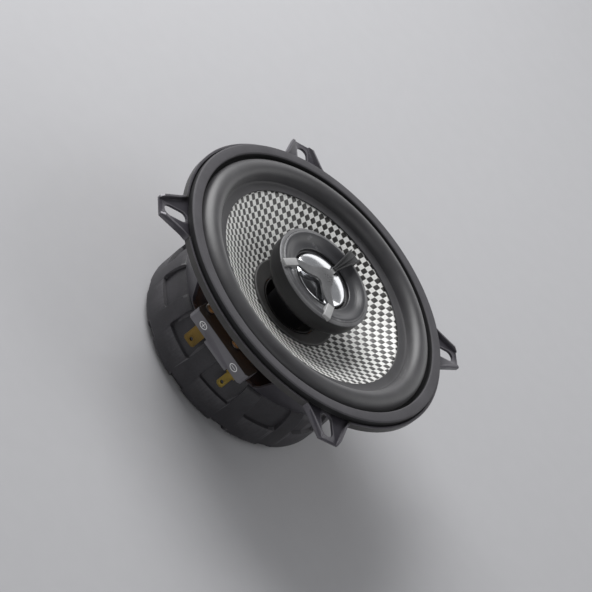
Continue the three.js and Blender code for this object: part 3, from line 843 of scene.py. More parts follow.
@dataclass
class Assembly:
    """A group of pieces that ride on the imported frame."""

    made: list[bpy.types.Object] = field(default_factory=list, init=False)

    ride = Ride(FRAME)

    def piece(self, name: str, shape: Shape, slot: str, finish: Finish, nodes: Sequence[str] = (),
              ride: Ride | None = None, sharp: float = 38.0, also: Finish | None = None,
              where: Callable[[bmesh.types.BMFace], bool] = lambda face: False) -> bpy.types.Object:
        """Turn a shape into a finished piece of the speaker.

        Args:
            name: The piece's name.
            shape: Its shape, in millimetres.
            slot: Not used.
            finish: Its finish.
            nodes: The frame nodes it stands for; its own name if none are given.
            ride: What it moves with; the assembly's own ride if none is given.
            sharp: Least angle in degrees of an edge that stays crisp.
            also: A second finish.
            where: Which faces take the second finish.

        Returns:
            The piece.
        """
        bm = shape.bm
        limit = math.radians(sharp)
        for face in bm.faces:
            face.smooth = True
            face.material_index = int(also is not None and where(face))
        for edge in bm.edges:
            edge.smooth = not edge.is_manifold or edge.calc_face_angle(0) < limit
        bmesh.ops.scale(bm, vec=(MM, MM, MM), verts=bm.verts[:])
        mesh = bpy.data.meshes.new(name)
        bm.to_mesh(mesh)
        bm.free()
        made = bpy.data.objects.new(name, mesh)
        bpy.context.scene.collection.objects.link(made)
        mesh.materials.append(finish.material())
        if also is not None:
            mesh.materials.append(also.material())
        (ride or self.ride).apply(made)
        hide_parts(*(nodes or [name]))
        self.made.append(made)
        LOG.info("%s: %d faces on %s", name, len(mesh.polygons), (ride or self.ride).body)
        return made

    def plain_ring(self, name: str, node: str, radii: Point2, slot: str, finish: Finish,
                   steps: int = 128, round_mm: float = 0.0, ride: Ride | None = None) -> None:
        """Build a plain ring or disc in a frame node's place.

        Args:
            name: The piece's name.
            node: The frame node it stands for.
            radii: Its inner radius, 0 for a disc, and its outer radius.
            slot: Passed on to piece, which does not use it.
            finish: Its finish.
            steps: Stretches around it.
            round_mm: Size of the rounding on its corners.
            ride: What it moves with; the assembly's own ride if none is given.
        """
        span = Span.of(node)
        inner, outer = radii
        outline = [(inner, span.low.z), (outer, span.low.z), (outer, span.high.z), (inner, span.high.z)]
        self.piece(name, Shape.turned(outline, steps, round_mm), slot, finish, [node], ride)


# ------------------------------------------------------------------ basket
@dataclass
class Basket(Assembly):
    """The pressed steel basket with its four ears, its windows and the front gasket."""

    flange_back: float = 50.0
    flange_radius: float = 65.0
    opening_radius: float = 57.2
    sheet: float = 1.0
    lip_top: float = 52.6
    ears_around: int = 4
    first_ear: float = 45.0
    slot_radius: float = 68.6
    slot_length: float = 10.6
    slot_width: float = 5.2
    tip_radius: float = 76.3
    tip_half: float = 4.65
    ear_slope: float = 0.46
    window_half_angle: float = 28.0
    window_heights: Point2 = (27.6, 47.6)
    board_half: float = 16.5
    gasket_inner: float = 58.8
    gasket_outer: float = 63.4

    def __post_init__(self) -> None:
        """Read the gasket's place in the frame."""
        self.gasket = Span.of("front_gasket")

    def ear_outline(self, inset: float, tip: float) -> list[Point2]:
        """The plan of one ear along +X, flaring into the flange.

        Args:
            inset: How far inside the ear's own edge.
            tip: Radius of its end.

        Returns:
            The outline's corners.
        """
        side = [(x, self.tip_half + (self.tip_radius - x) * self.ear_slope - inset)
                for x in (60.0, 66.8, tip)]
        side.insert(1, (64.3, side[1][1] + 1.7))
        return side + [(x, -y) for x, y in reversed(side)]

    def ears(self, inset: float, tip: float, low: float, high: float, round_mm: float) -> Shape:
        """Raise the four ears.

        Args:
            inset: How far inside their own edges.
            tip: Radius of their ends.
            low: Height of their undersides.
            high: Height of their tops.
            round_mm: Rounding of the upright corners.

        Returns:
            The four ears as one shape.
        """
        ear = Shape.slab(self.ear_outline(inset, tip), low, high, round_mm)
        return ear.ring_of(self.ears_around, self.first_ear)

    def disc(self, radius: float, low: float, high: float, inner: float = 0.0, steps: int = 256) -> Shape:
        """Turn a disc or a ring about the axis.

        Args:
            radius: Its outer radius.
            low: Height of its underside.
            high: Height of its top.
            inner: Radius of its hole, or 0.
            steps: Stretches around it.

        Returns:
            The disc.
        """
        return Shape.turned([(inner, low), (radius, low), (radius, high), (inner, high)], steps)

    def wall(self) -> Shape:
        """Turn the basket's cone-shaped wall, from its floor up to the flange."""
        return Shape.turned([(17.0, 26.3), (43.2, 26.3), (44.1, 26.8), (57.9, 50.0), (57.9, 50.6),
                             (56.5, 50.6), (42.9, 27.6), (42.3, 27.3), (17.0, 27.3)], 256, 0.35)

    def slots(self) -> Shape:
        """The four screw slots' cutters, with round ends."""
        half = self.slot_length / 2 - self.slot_width / 2
        radius = self.slot_width / 2
        ends = arc((self.slot_radius + half, 0), (radius, radius), -90, 90, 12)
        ends += arc((self.slot_radius - half, 0), (radius, radius), 90, 270, 12)
        return Shape.slab(ends, 45, 60).ring_of(self.ears_around, self.first_ear)

    def windows(self) -> Shape:
        """The four windows' cutters, with rounded corners."""
        half = self.window_half_angle
        inner = [polar(41.7, -half + 2 * half * i / 16).xy for i in range(17)]
        outer = [polar(70.0, half - 2 * half * i / 16).xy for i in range(17)]
        window = Shape.slab([tuple(p) for p in inner + outer], *self.window_heights)
        return window.soften(2.4, 4, 60.0, runs_outwards).ring_of(4)

    def build_basket(self) -> None:
        """Build the basket: flange, lips, ears, wall and windows."""
        floor = self.flange_back + self.sheet
        body = self.disc(self.flange_radius, self.flange_back, self.lip_top)
        body.join(self.ears(0.0, self.tip_radius, self.flange_back, self.lip_top, 0.0))
        trough = self.disc(self.flange_radius - self.sheet, floor, 60)
        trough.join(self.ears(1.0, 80.0, floor, 60.0, 0.0))
        tip = Shape.slab([(74.0, 53.1), (76.2, 51.6), (82.0, 51.6), (82.0, 56.0), (74.0, 56.0)], -10, 10)
        tips = tip.moved(UPRIGHT).ring_of(self.ears_around, self.first_ear)
        hole = self.disc(self.opening_radius, 40, 60)
        body.cut(trough, tips, self.slots(), hole)
        wall = self.wall()
        seat = Shape.block((-self.board_half, -60, 27.3), (self.board_half, -39.1, 40.0))
        notch = Shape.block((-2.6, -44.6, 20), (2.6, -38.4, 30))
        wall.cut(self.windows(), seat, notch)
        body.join(wall)
        body.soften(0.22, 2, 32.0, lambda edge: all(v.co.xy.length > 40 for v in edge.verts))
        # The flange's outer edge takes the darker edge finish: painted shade on that side.
        self.piece("painted_basket", body, "basket_paint", BASKET, ["basket"], also=FLANGE_EDGE_SHADE, where=self.on_edge)

    def on_edge(self, face: bmesh.types.BMFace) -> bool:
        """Whether a face belongs to the flange's outer edge, between the ears, which is painted darker as
        shade.
        """
        middle = face.calc_center_median()
        inside = self.flange_radius - middle.xy.length
        return middle.z > self.flange_back + 0.1 and -0.1 < inside < 0.4

    def build_gasket(self) -> None:
        """Build the foam gasket ring with its soft edges, its upright side walls painted near-black as
        shade.
        """
        low, high = self.gasket.low.z, self.gasket.high.z
        ring = [(self.gasket_inner, low), (self.gasket_outer, low),
                (self.gasket_outer, high - 0.5), (self.gasket_outer - 0.5, high),
                (self.gasket_inner + 0.45, high), (self.gasket_inner, high - 0.45)]
        # The upright side walls take the near-black gap finish: painted shade in the gaps on both sides of
        # the gasket.
        self.piece("gasket_ring", Shape.turned(ring, 256, 0.2), "gasket", GASKET, ["front_gasket"],
                   also=SHADOW, where=lambda face: abs(face.normal.z) < 0.3)

    def build(self) -> None:
        """Build every piece of the basket."""
        self.build_basket()
        self.build_gasket()


# ------------------------------------------------------------------ moving parts of the woofer
@dataclass
class Woofer(Assembly):
    """The cone with its woven skin, surround, collar, voice coil, spider and tinsel leads."""

    mouth: float = 13.3
    shoulder: float = 43.8
    rim: float = 47.4
    wall: float = 0.7
    neck_height: float = 36.0
    rise: float = 14.2
    sag: float = 1.1
    relief: float = 0.13
    roll_radius: float = 52.6
    roll_steps: int = 14
    collar_radii: Point2 = (13.35, 20.0)
    wire_turns: int = 24
    wire_inner: float = 13.0
    wire_middle: float = 13.55
    spider_inner: float = 13.1
    spider_width: float = 17.5
    spider_height: float = 32.75
    spider_thickness: float = 0.45
    ripples: int = 3
    ripple: float = 0.45
    lead_start: float = -37.8
    lead_reach: float = 10.6

    ride = Ride(CONE)

    def front(self, radius: float) -> float:
        """Height of the cone's front at a radius."""
        share = min(1.0, (radius - self.mouth) / (self.shoulder - self.mouth))
        return self.neck_height + self.rise * share - self.sag * math.sin(math.pi * share)

    def build_cone(self) -> None:
        """Build the cone, with its yarns standing up in relief on the front."""
        rings = 100
        radii = [self.mouth + (self.rim - self.mouth) * i / rings for i in range(rings + 1)]
        front = [(r, self.front(r)) for r in radii]
        back = [(r, self.front(r) - self.wall) for r in radii[::-6]]
        back[-1] = (self.mouth, self.front(self.mouth) - self.wall)
        shape = Shape.turned(front + back, 440)
        turn, pitch = Weave.TURN, Weave.PITCH
        for vert in shape.bm.verts:
            radius = vert.co.xy.length
            if abs(vert.co.z - self.front(radius)) < 0.05:
                u = (math.cos(turn) * vert.co.x - math.sin(turn) * vert.co.y) / pitch
                v = (math.sin(turn) * vert.co.x + math.cos(turn) * vert.co.y) / pitch
                crown = abs(math.sin(math.pi * u) * math.sin(math.pi * v)) ** 0.6
                fade = min(1.0, max(0.0, radius - self.mouth), max(0.0, self.rim - radius))
                vert.co.z += self.relief * (crown - 0.45) * fade
        bmesh.ops.recalc_face_normals(shape.bm, faces=shape.bm.faces[:])
        # Back faces take the brightened brown: painted light on the cone's back, seen through the windows.
        self.piece("woven_cone_skin", shape, "woven_cone", CONE_WEAVE, ["cone"], sharp=60,
                   also=CONE_BACK_PAINTED_LIGHT, where=lambda face: face.normal.z < -0.2)

    def build_surround(self) -> None:
        """Build the rubber roll that joins the cone's edge to the basket."""
        middle, steps = self.roll_radius, self.roll_steps
        outer = arc((middle, 51.9), (4.8, 4.3), 0, 90, steps)
        inner = arc((middle, 51.3), (4.2, 4.9), 90, 180, steps)
        roll = [(62.8, 51.3), (62.8, 51.9), (57.7, 51.9), *outer, *inner[1:]]
        roll += [(47.75, 51.15), (47.45, 50.95), (44.2, 51.05), (44.05, 50.6)]
        under_inner = arc((middle, 50.7), (4.3, 4.9), 180, 90, steps)
        under_outer = arc((middle, 51.3), (4.3, 4.3), 90, 0, steps)
        roll += [(48.0, 50.5), *under_inner, *under_outer[1:], (57.2, 51.3)]
        ride = radial_ride(FRAME, CONE, 57.4, 47.8)
        # Faces beyond radius 57.5 mm, the roll's flat rim, take the near-black gap finish: painted shade in
        # the gap between roll and gasket.
        self.piece("surround_roll", Shape.turned(roll, 256), "surround_rubber", SURROUND,
                   ["surround"], ride, 50.0, SHADOW,
                   lambda face: face.calc_center_median().xy.length > 57.5)

    def build_collar(self) -> None:
        """Build the glued collar around the cone's neck."""
        inner, outer = self.collar_radii
        ring = [(inner, self.front(inner) + 0.1), (outer, self.front(outer) + 0.05),
                (outer - 0.15, self.front(outer) + 0.75), (outer - 0.7, self.front(outer) + 0.95),
                (inner + 0.6, self.front(inner) + 1.0), (inner, self.front(inner) + 0.8)]
        self.piece("collar", Shape.turned(ring, 160, 0.12), "black_plastic", COLLAR, ["neck_collar"])

    def build_coil(self) -> None:
        """Build the voice coil's former and its winding of round wire."""
        self.plain_ring("former", "voice_coil_former", (12.5, 12.9), "coil_former", FORMER_AND_GAP_SHADE)
        winding = Span.of("voice_coil_winding")
        pitch = (winding.high.z - winding.low.z) / self.wire_turns
        outline = [(self.wire_inner, winding.high.z), (self.wire_inner, winding.low.z)]
        for i in range(self.wire_turns):
            middle = winding.low.z + pitch * (i + 0.5)
            outline += arc((self.wire_middle, middle), (pitch / 2, pitch / 2), -80, 80, 4)
        self.piece("winding", Shape.turned(outline, 96), "copper", COPPER, ["voice_coil_winding"])

    def build_spider(self) -> None:
        """Build the rippled cloth spider."""
        points = []
        steps = 60
        for i in range(steps + 1):
            share = i / steps
            flat = not 0.02 < share < 0.98
            wave = 0.0 if flat else self.ripple * (1 - math.cos(FULL_TURN * self.ripples * share))
            points.append((self.spider_inner + self.spider_width * share, self.spider_height + wave))
        cloth = [(r, z + self.spider_thickness) for r, z in points] + list(reversed(points))
        ride = radial_ride(FRAME, CONE, 27.8, 13.3)
        # The spider takes the brightened orange: painted light inside the basket.
        self.piece("spider_cloth", Shape.turned(cloth, 192), "spider_cloth", SPIDER_PAINTED_LIGHT, ["spider"], ride, 60.0)

    def build_leads(self) -> None:
        """Build the two flexible leads from the board to the voice coil."""
        path = [(10.2, -39, 31), (10.2, -37.8, 31.6), (10, -35.2, 34.8), (9.4, -31, 36.6),
                (8.6, -27.2, 37.65), (8.2, -24.7, 39.25)]
        ride = Ride(FRAME, CONE, lambda points: smooth_step(
            (points[:, 1] - self.lead_start) / self.lead_reach))
        for node in ("tinsel_lead_positive", "tinsel_lead_negative"):
            span = Span.of(node)
            side = 1 if span.low.x + span.high.x > 0 else -1
            shape = Shape.tube([(side * x, y, z) for x, y, z in path], 0.55)
            self.piece(node.replace("tinsel_lead", "braided_lead"), shape, "copper", COPPER, [node], ride)

    def build(self) -> None:
        """Build every moving piece of the woofer."""
        self.build_cone()
        self.build_surround()
        self.build_collar()
        self.build_coil()
        self.build_spider()
        self.build_leads()


# ------------------------------------------------------------------ magnet
@dataclass
class Motor(Assembly):
    """The magnet with its steel plates, the spider's ring, the rivets and the rubber boot."""

    pockets: int = 12
    boot_radius: float = 44.8
    boot_height: float = 25.2

    def build_plates(self) -> None:
        """Build the steel plates, the pole and the ferrite ring between them."""
        self.plain_ring("front_plate", "top_plate", (14.4, 37.5), "plated_steel", STEEL, round_mm=0.4)
        self.plain_ring("ferrite_ring", "ferrite_magnet", (19.0, 38.0), "ferrite", FERRITE, round_mm=0.6)
        back = Span.of("back_plate_and_pole")
        pole = [(7.0, back.low.z), (36.5, back.low.z), (36.5, 9.0), (11.8, 9.0), (11.8, back.high.z),
                (3.5, back.high.z), (3.5, 7.2), (7.0, 7.2)]
        self.piece("back_plate", Shape.turned(pole, 128, 0.3), "plated_steel", STEEL,
                   ["back_plate_and_pole"])
        self.plain_ring("spider_seat", "spider_ring", (27.8, 31.0), "black_plastic", COLLAR, round_mm=0.3)

    def build_rivets(self) -> None:
        """Build the four rivets that hold the basket to the magnet."""
        for i in range(4):
            node = f"plate_rivet_{i + 1}"
            span = Span.of(node)
            centre = (span.low + span.high) / 2
            rivet = [(0, span.low.z), (1.5, span.low.z), (1.5, 27.6), (2.6, 27.6), (2.6, 28.1),
                     (2.1, 28.65), (1.1, 28.8), (0, 28.8)]
            shape = Shape.turned(rivet, 32).moved(Matrix.Translation((centre.x, centre.y, 0)))
            self.piece(f"rivet_{i + 1}", shape, "plated_steel", STEEL, [node])

    def pocket(self) -> Shape:
        """The cutter of one pocket on the boot's side."""
        outline = [(43.2, 13.4), (47.0, 13.4), (47.0, 27.0), (40.6, 27.0), (41.2, 25.2), (42.9, 20.0)]
        wedge = Shape.turned(outline, 10, sweep=20.6, start=-10.3)
        return wedge.soften(1.1, 4, 50.0, lambda edge: runs_outwards(edge) and edge.verts[0].co.z < 14)

    def build_boot(self) -> None:
        """Build the rubber boot with its pockets and the notches in its back edge."""
        outline = [(0, 0), (41.4, 0), (43.2, 1.2), (44.4, 2.6), (self.boot_radius, 4.0),
                   (self.boot_radius, 15.0), (44.6, 18.0), (44.3, 20.2), (43.6, 22.6), (42.8, 24.2),
                   (41.9, 25.0), (41.2, self.boot_height), (40.2, self.boot_height), (40.2, 2.2), (0, 2.2)]
        boot = Shape.turned(outline, 240, 0.3)
        pockets = self.pocket().ring_of(self.pockets, 15.0)
        notch = Shape.turned([(39.8, -1.0), (47.0, -1.0), (47.0, 3.2), (43.3, 4.4)], 6, sweep=10, start=-5)
        notches = notch.ring_of(self.pockets)
        boot.cut(pockets, notches)
        boot.soften(0.25, 2, 34.0, lambda edge: all(v.co.xy.length > 40.5 for v in edge.verts))
        self.piece("rubber_boot", boot, "boot_rubber", BOOT, ["magnet_boot"])

    def build(self) -> None:
        """Build every piece of the magnet."""
        self.build_plates()
        self.build_rivets()
        self.build_boot()


# ------------------------------------------------------------------ terminals
@dataclass
class Terminals(Assembly):
    """The terminal board with its spades, rivets, marks, capacitor and leads to the tweeter."""

    mark_radius: float = 1.9
    mark_ring: float = 0.42
    mark_bar: Point2 = (1.05, 0.16)
    mark_height: float = 0.08
    mark_squeeze: float = 0.72
    blade_y: float = -46.2
    hole_z: float = 22.0
    wide_blade: float = 5.0
    tongue: float = 1.5
    plus_x: float = -9.5
    minus_x: float = 10.0

    def __post_init__(self) -> None:
        """Read the board's place in the frame."""
        self.board = Span.of("terminal_board")

    def build_board(self) -> None:
        """Build the board: a bar with a short tongue behind its middle, its front towards the flange
        painted near-black as shade.
        """
        low, high = self.board.low, self.board.high
        bar = Shape.slab([(low.x, low.y + 1.2), (low.x + 1.2, low.y), (high.x - 1.2, low.y),
                          (high.x, low.y + 1.2), (high.x, high.y), (low.x, high.y)],
                         low.z + self.tongue, high.z)
        bar.join(Shape.block((-4.6, low.y, low.z), (8.8, low.y + 1.9, low.z + 2.0)))
        bar.soften(0.3, 2, 30.0)
        # Faces turned towards the flange take the near-black board finish: painted shade under the flange.
        self.piece("terminal_bar", bar, "board_plastic", TERMINAL, ["terminal_board"], also=TERMINAL_SHADE,
                   where=lambda face: face.normal.z > 0.6)

    def mark(self, x: float, upright: bool) -> Shape:
        """A raised ring with a plus or a minus in it, on the board's outer face.

        Args:
            x: Where it stands along the board.
            upright: True for a plus.

        Returns:
            The mark.
        """
        radius, top = self.mark_radius, self.mark_height
        inner = radius - self.mark_ring
        long, thin = self.mark_bar
        shape = Shape.turned([(inner, 0), (radius, 0), (radius, top), (inner, top)], 48)
        shape.add(Shape.block((-long, -thin, 0), (long, thin, top)))
        if upright:
            shape.add(Shape.block((-thin, thin, 0), (thin, long, top)))
            shape.add(Shape.block((-thin, -long, 0), (thin, -thin, top)))
        middle = (self.board.low.z + self.tongue + self.board.high.z) / 2 + 0.2
        place = Matrix.Translation((x, self.board.low.y + 0.01, middle))
        return shape.moved(place @ UPRIGHT @ Matrix.Diagonal((1.0, self.mark_squeeze, 1.0, 1.0)))

    def build_marks(self) -> None:
        """Build the plus and minus marks."""
        for name, x, upright in (("plus_mark", self.plus_x, True), ("minus_mark", self.minus_x, False)):
            self.piece(name, self.mark(x, upright), "board_plastic", MARK, ["terminal_board"])

    def spade(self, node: str, x: float, width: float, shoulder: float) -> None:
        """Build one blade with a pierced, chamfered tip.

        Args:
            node: The frame node it stands for.
            x: Its middle along the board.
            width: Its width.
            shoulder: Extra width on each side at its root.
        """
        span = Span.of(node)
        half, tip, root = width / 2, span.low.z, span.high.z
        side = [(half - 0.8, tip), (half, tip + 0.8), (half, 26.6), (half + shoulder, 26.6),
                (half + shoulder, root)]
        outline = [(x + a, b) for a, b in side] + [(x - a, b) for a, b in reversed(side)]
        blade = Shape.slab(outline, -0.4, 0.4)
        hole = Shape.turned([(0, -2), (0.75, -2), (0.75, 2), (0, 2)], 24)
        blade.cut(hole.moved(Matrix.Translation((x, self.hole_z, 0))))
        blade.soften(0.12, 2, 40.0)
        wide = width > self.wide_blade
        if wide:
            coin = Shape.turned([(1.05, -0.46), (1.4, -0.46), (1.4, 0.46), (1.05, 0.46)], 40, 0.05)
            blade.add(coin.moved(Matrix.Translation((x, self.hole_z, 0))))
        stand = Matrix.Translation((0, self.blade_y, 0)) @ UPRIGHT
        self.piece(f"{node}_blade", blade.moved(stand), "spade_brass", BRASS if wide else BRASS_PALE,
                   [node])

    def build_rivets(self) -> None:
        """Build the two rivets through the board."""
        for i, x in ((1, -13.4), (2, 3.2)):
            node = f"board_rivet_{i}"
            span = Span.of(node)
            rivet = [(0, span.low.z), (1.0, span.low.z), (1.0, 33.5), (2.1, 33.5), (2.1, 33.9),
                     (1.6, 34.3), (0.7, 34.4), (0, 34.4)]
            shape = Shape.turned(rivet, 32).moved(Matrix.Translation((x, -41.2, 0)))
            self.piece(f"board_pin_{i}", shape, "plated_steel", STEEL, [node])

    def build_capacitor(self) -> None:
        """Build the crossover capacitor with its crimped sleeve."""
        span = Span.of("crossover_capacitor")
        half, radius = (span.high.x - span.low.x) / 2, (span.high.z - span.low.z) / 2
        centre = (span.low + span.high) / 2
        body = [(0, -half), (radius - 0.4, -half), (radius, -half + 0.4), (radius, half - 2.4),
                (radius - 0.35, half - 1.9), (radius, half - 1.4), (radius, half - 0.4),
                (radius - 0.5, half), (0, half)]
        lie = Matrix.Translation(centre) @ Matrix.Rotation(math.radians(90), 4, "Y")
        shape = Shape.turned(body, 48, 0.12).moved(lie)
        self.piece("capacitor", shape, "capacitor_sleeve", SLEEVE, ["crossover_capacitor"])

    def build_leads(self) -> None:
        """Dress the tweeter's leads."""
        for node in ("tweeter_lead_positive", "tweeter_lead_negative"):
            dress_node(node, LEAD)

    def build(self) -> None:
        """Build every piece at the terminals."""
        self.build_board()
        self.build_marks()
        self.spade("positive_spade", -8.6, 5.8, 0.0)
        self.spade("negative_spade", 11.4, 3.4, 0.7)
        self.build_rivets()
        self.build_capacitor()
        self.build_leads()


def dress_node(node: str, finish: Finish) -> None:
    """Give a frame node's own mesh a better finish.

    Args:
        node: The node's name.
        finish: The finish it takes.
    """
    target = bpy.data.objects[node]
    for slot in range(len(target.data.materials)):
        target.data.materials[slot] = finish.material()
    LOG.info("%s: dressed as %s", node, finish.name)


# ------------------------------------------------------------------ tweeter
@dataclass
class Tweeter(Assembly):
    """The tweeter on its post: pod, face ring, dome, bridge and the parts inside."""

    pod_radius: float = 22.5
    face_top: float = 58.0
    dome_radius: float = 12.3
    dome_base: float = 55.2
    dome_rise: float = 2.6
    dome_skin: float = 0.35
    dome_lip: float = 0.4
    plate_low: float = 58.3
    plate_thickness: float = 1.0
    hub_rise: float = 0.7
    hub_radius: float = 6.5
    leg_start: float = 6.0
    leg_reach: float = 10.0
    leg_fall: float = 0.15
    pad_half: float = 1.65
    pad_root: Point2 = (10.6, -11.9)
    pad_tip: Point2 = (13.2, -17.9)
    pad_top: float = 59.35
    pad_slope: float = 0.12
    fan_root: float = 5.2
    fan_reach: float = 22.3
    fan_half: Point2 = (0.9, 2.95)
    fan_top: float = 61.0
    rib_top: float = 1.7
    turn: float = 3.4
    mesh_step: float = 1.1

    def build_pod(self) -> None:
        """Build the pod's bowl and stem."""
        bowl = arc((15.5, 53.2), (6.9, 6.6), -90, 0, 12)
        outline = [(3.3, 26.3), (8.6, 26.3), (8.8, 34.0), (9.2, 40.0), (9.2, 43.6), (10.4, 45.4),
                   (13.2, 46.5), *bowl, (self.pod_radius, 54.6), (self.pod_radius, 56.95),
                   (self.pod_radius - 0.25, 57.2), (21.05, 57.65), (21.05, 54.0),
                   (16.2, 54.0), (16.2, 48.0), (3.3, 48.0)]
        shape = Shape.turned(outline, 192, 0.12)
        # The pod's outer rim faces take the light rim finish: painted highlight on the bevel.
        self.piece("pod_shell", shape, "pod_plastic", POD, ["tweeter_pod"], also=RIM,
                   where=lambda face: face.calc_center_median().xy.length > 20.9
                   and face.calc_center_median().z > 56.8)

    def build_inside(self) -> None:
        """Build the magnet, cup, pole plate and coil behind the dome."""
        span = Span.of("tweeter_cup")
        cup = [(3.3, span.low.z), (15.9, span.low.z), (15.9, span.high.z), (12.9, span.high.z),
               (12.9, 49.6), (3.3, 49.6)]
        self.piece("cup", Shape.turned(cup, 96, 0.15), "plated_steel", STEEL, ["tweeter_cup"])
        for name, node, radius in (("small_magnet", "tweeter_magnet", 10.0),
                                   ("pole_plate", "tweeter_pole_plate", 11.4)):
            self.plain_ring(name, node, (0, radius), "plated_steel", STEEL, 96, 0.15)
        # The tweeter's coil takes the former's black, not copper: painted shade in the gap around the
        # dome's edge.
        self.plain_ring("small_coil", "tweeter_coil", (12.0, 12.5), "copper", FORMER_AND_GAP_SHADE, 96,
                        ride=Ride(DIAPHRAGM))

    def build_dome(self) -> None:
        """Build the polished dome and the ring it hangs in."""
        steps = 36
        radii = [self.dome_radius * math.sin(math.pi / 2 * i / steps) for i in range(steps + 1)]
        front = [(r, self.dome_base + self.dome_rise * max(0.0, 1 - (r / self.dome_radius) ** 2) ** 0.6)
                 for r in radii]
        skin, edge = self.dome_skin, self.dome_base - self.dome_lip
        back = [(max(0.0, r - skin), self.dome_base + (z - self.dome_base) * 0.9 - 0.02)
                for r, z in reversed(front[1:])] + [(0, front[0][1] - self.dome_lip)]
        lip = [(self.dome_radius, edge), (self.dome_radius - skin, edge)]
        shape = Shape.turned(front + lip + back, 192)
        self.piece("dome_cap", shape, "dome_metal", DOME, ["tweeter_dome"], Ride(DIAPHRAGM), 50.0)
        span = Span.of("dome_suspension")
        ring = [(12.8, span.low.z), *arc((13.8, span.low.z + 0.1), (0.85, 0.45), 170, 10, 10),
                (15.3, span.low.z + 0.15), (15.3, span.low.z)]
        ride = radial_ride(FRAME, DIAPHRAGM, 15.2, 12.9)
        self.piece("half_roll", Shape.turned(ring, 128), "surround_rubber", SURROUND,
                   ["dome_suspension"], ride)

    def build_face(self) -> None:
        """Build the dished face ring with its bright edge."""
        dish = [(13.8, 55.2), (13.8, 55.8), (14.2, 56.0), (15.2, 56.15), (16.3, 56.45), (17.1, 56.8),
                (17.9, 57.25), (18.7, 57.65), (19.4, 57.9), (19.9, self.face_top), (20.3, 57.92),
                (20.95, 57.68), (20.95, 54.3), (14.7, 54.3)]
        # The ring's outer bevel takes the light rim finish: painted highlight.
        self.piece("face_ring", Shape.turned(dish, 192, 0.1), "face_plastic", FACE, ["tweeter_face"],
                   also=RIM, where=lambda face: face.calc_center_median().xy.length > 20.1)

    def wishbone(self) -> Shape:
        """The bridge's plate: a stem and two legs around a hollow, smooth enough to bend.

        Returns:
            The plate, flat, with its stem along +Y.
        """
        outer = flowing([(1.1, 5.6), (1.1, 2.2), (2.6, 0.2), (4.4, -2.8), (6.8, -6.4), (12.2, -11.0)])
        inner = flowing([(9.2, -12.4), (5.0, -10.6), (1.6, -7.6)])
        right = outer + inner
        outline = right + [(0, -6.9)] + [(-x, y) for x, y in reversed(right)]
        shape = Shape.slab(outline, self.plate_low, self.plate_low + self.plate_thickness)
        for way in (Vector((1, 0, 0)), Vector((0, 1, 0))):
            for step in range(-11, 12):
                whole = shape.bm.faces[:] + shape.bm.edges[:] + shape.bm.verts[:]
                place = way * (step * self.mesh_step + 0.05)
                bmesh.ops.bisect_plane(shape.bm, geom=whole, plane_co=place, plane_no=way)
        return shape

    def lift(self, radius: float) -> float:
        """How far the plate is raised at a radius: a rounded hub, and legs that fall to their pads."""
        hub = self.hub_rise * max(0.0, 1 - (radius / self.hub_radius) ** 2)
        share = min(1.0, max(0.0, (radius - self.leg_start) / self.leg_reach))
        return hub - self.leg_fall * share * share * (3 - 2 * share)

    def pad(self, side: int) -> Shape:
        """One of the bridge's pads, which slopes down onto the rim.

        Args:
            side: 1 for the one towards +X, -1 for the other.

        Returns:
            The pad.
        """
        root, tip = Vector(self.pad_root), Vector(self.pad_tip)
        along = (tip - root).normalized()
        across = Vector((-along.y, along.x)) * self.pad_half
        corners = [root - across, tip - across, tip + across, root + across]
        shape = Shape.slab([tuple(corner) for corner in corners], self.face_top - 1.4, self.pad_top)
        for vert in shape.bm.verts:
            if vert.co.z > self.face_top:
                vert.co.z -= self.pad_slope * (vert.co.xy - root).dot(along)
            vert.co.x *= side
        bmesh.ops.recalc_face_normals(shape.bm, faces=shape.bm.faces[:])
        return shape.soften(0.22, 3)

    def build_bridge(self) -> None:
        """Build the bridge over the dome: its wishbone plate, its two pads and its ribbed fan."""
        turn = Matrix.Rotation(math.radians(self.turn), 4, "Z")
        plate = self.wishbone()
        for vert in plate.bm.verts:
            vert.co.z += self.lift(vert.co.xy.length)
        plate.soften(0.26, 3, 50.0).moved(turn)
        self.piece("bridge_plate", plate, "face_plastic", SATIN, ["tweeter_bridge"], sharp=50.0)
        for name, side in (("left_pad", -1), ("right_pad", 1)):
            # The pads take the light pad finish: painted highlight.
            self.piece(name, self.pad(side).moved(turn), "face_plastic", PAD, ["tweeter_bridge"])
        self.build_fan()

    def build_fan(self) -> None:
        """Build the fan, which rises from the stem to the rim and carries three ribs."""
        root, reach, ribs = self.fan_root - 0.6, self.fan_reach, self.rib_top
        narrow, wide = self.fan_half
        blade = Shape.slab([(root, -narrow), (reach, -wide), (reach, wide), (root, narrow)], 0.0, 0.9)
        blade.soften(0.2, 2)
        flare = math.degrees(math.atan2(wide - narrow, reach - root))
        for angle, offset in ((-flare, -narrow + 0.3), (0.0, 0.0), (flare, narrow - 0.3)):
            rib = Shape.block((0, -0.3, 0.4), (reach - root - 0.1, 0.3, ribs), 0.18)
            place = Matrix.Translation((root, offset, 0)) @ Matrix.Rotation(math.radians(angle), 4, "Z")
            blade.add(rib.moved(place))
        end = Shape.block((reach - 1.5, -wide + 0.15, self.face_top - 0.6 - self.fan_top + ribs),
                          (reach - 0.2, wide - 0.15, 0.5), 0.2)
        blade.add(end)
        rise = (self.fan_top - ribs - self.plate_low) / (reach - root)
        for vert in blade.bm.verts:
            vert.co.z += self.plate_low + 0.1 + rise * (vert.co.x - root)
        blade.moved(Matrix.Rotation(math.radians(90 + self.turn), 4, "Z"))
        self.piece("fan_arm", blade, "face_plastic", FAN, ["tweeter_bridge"])

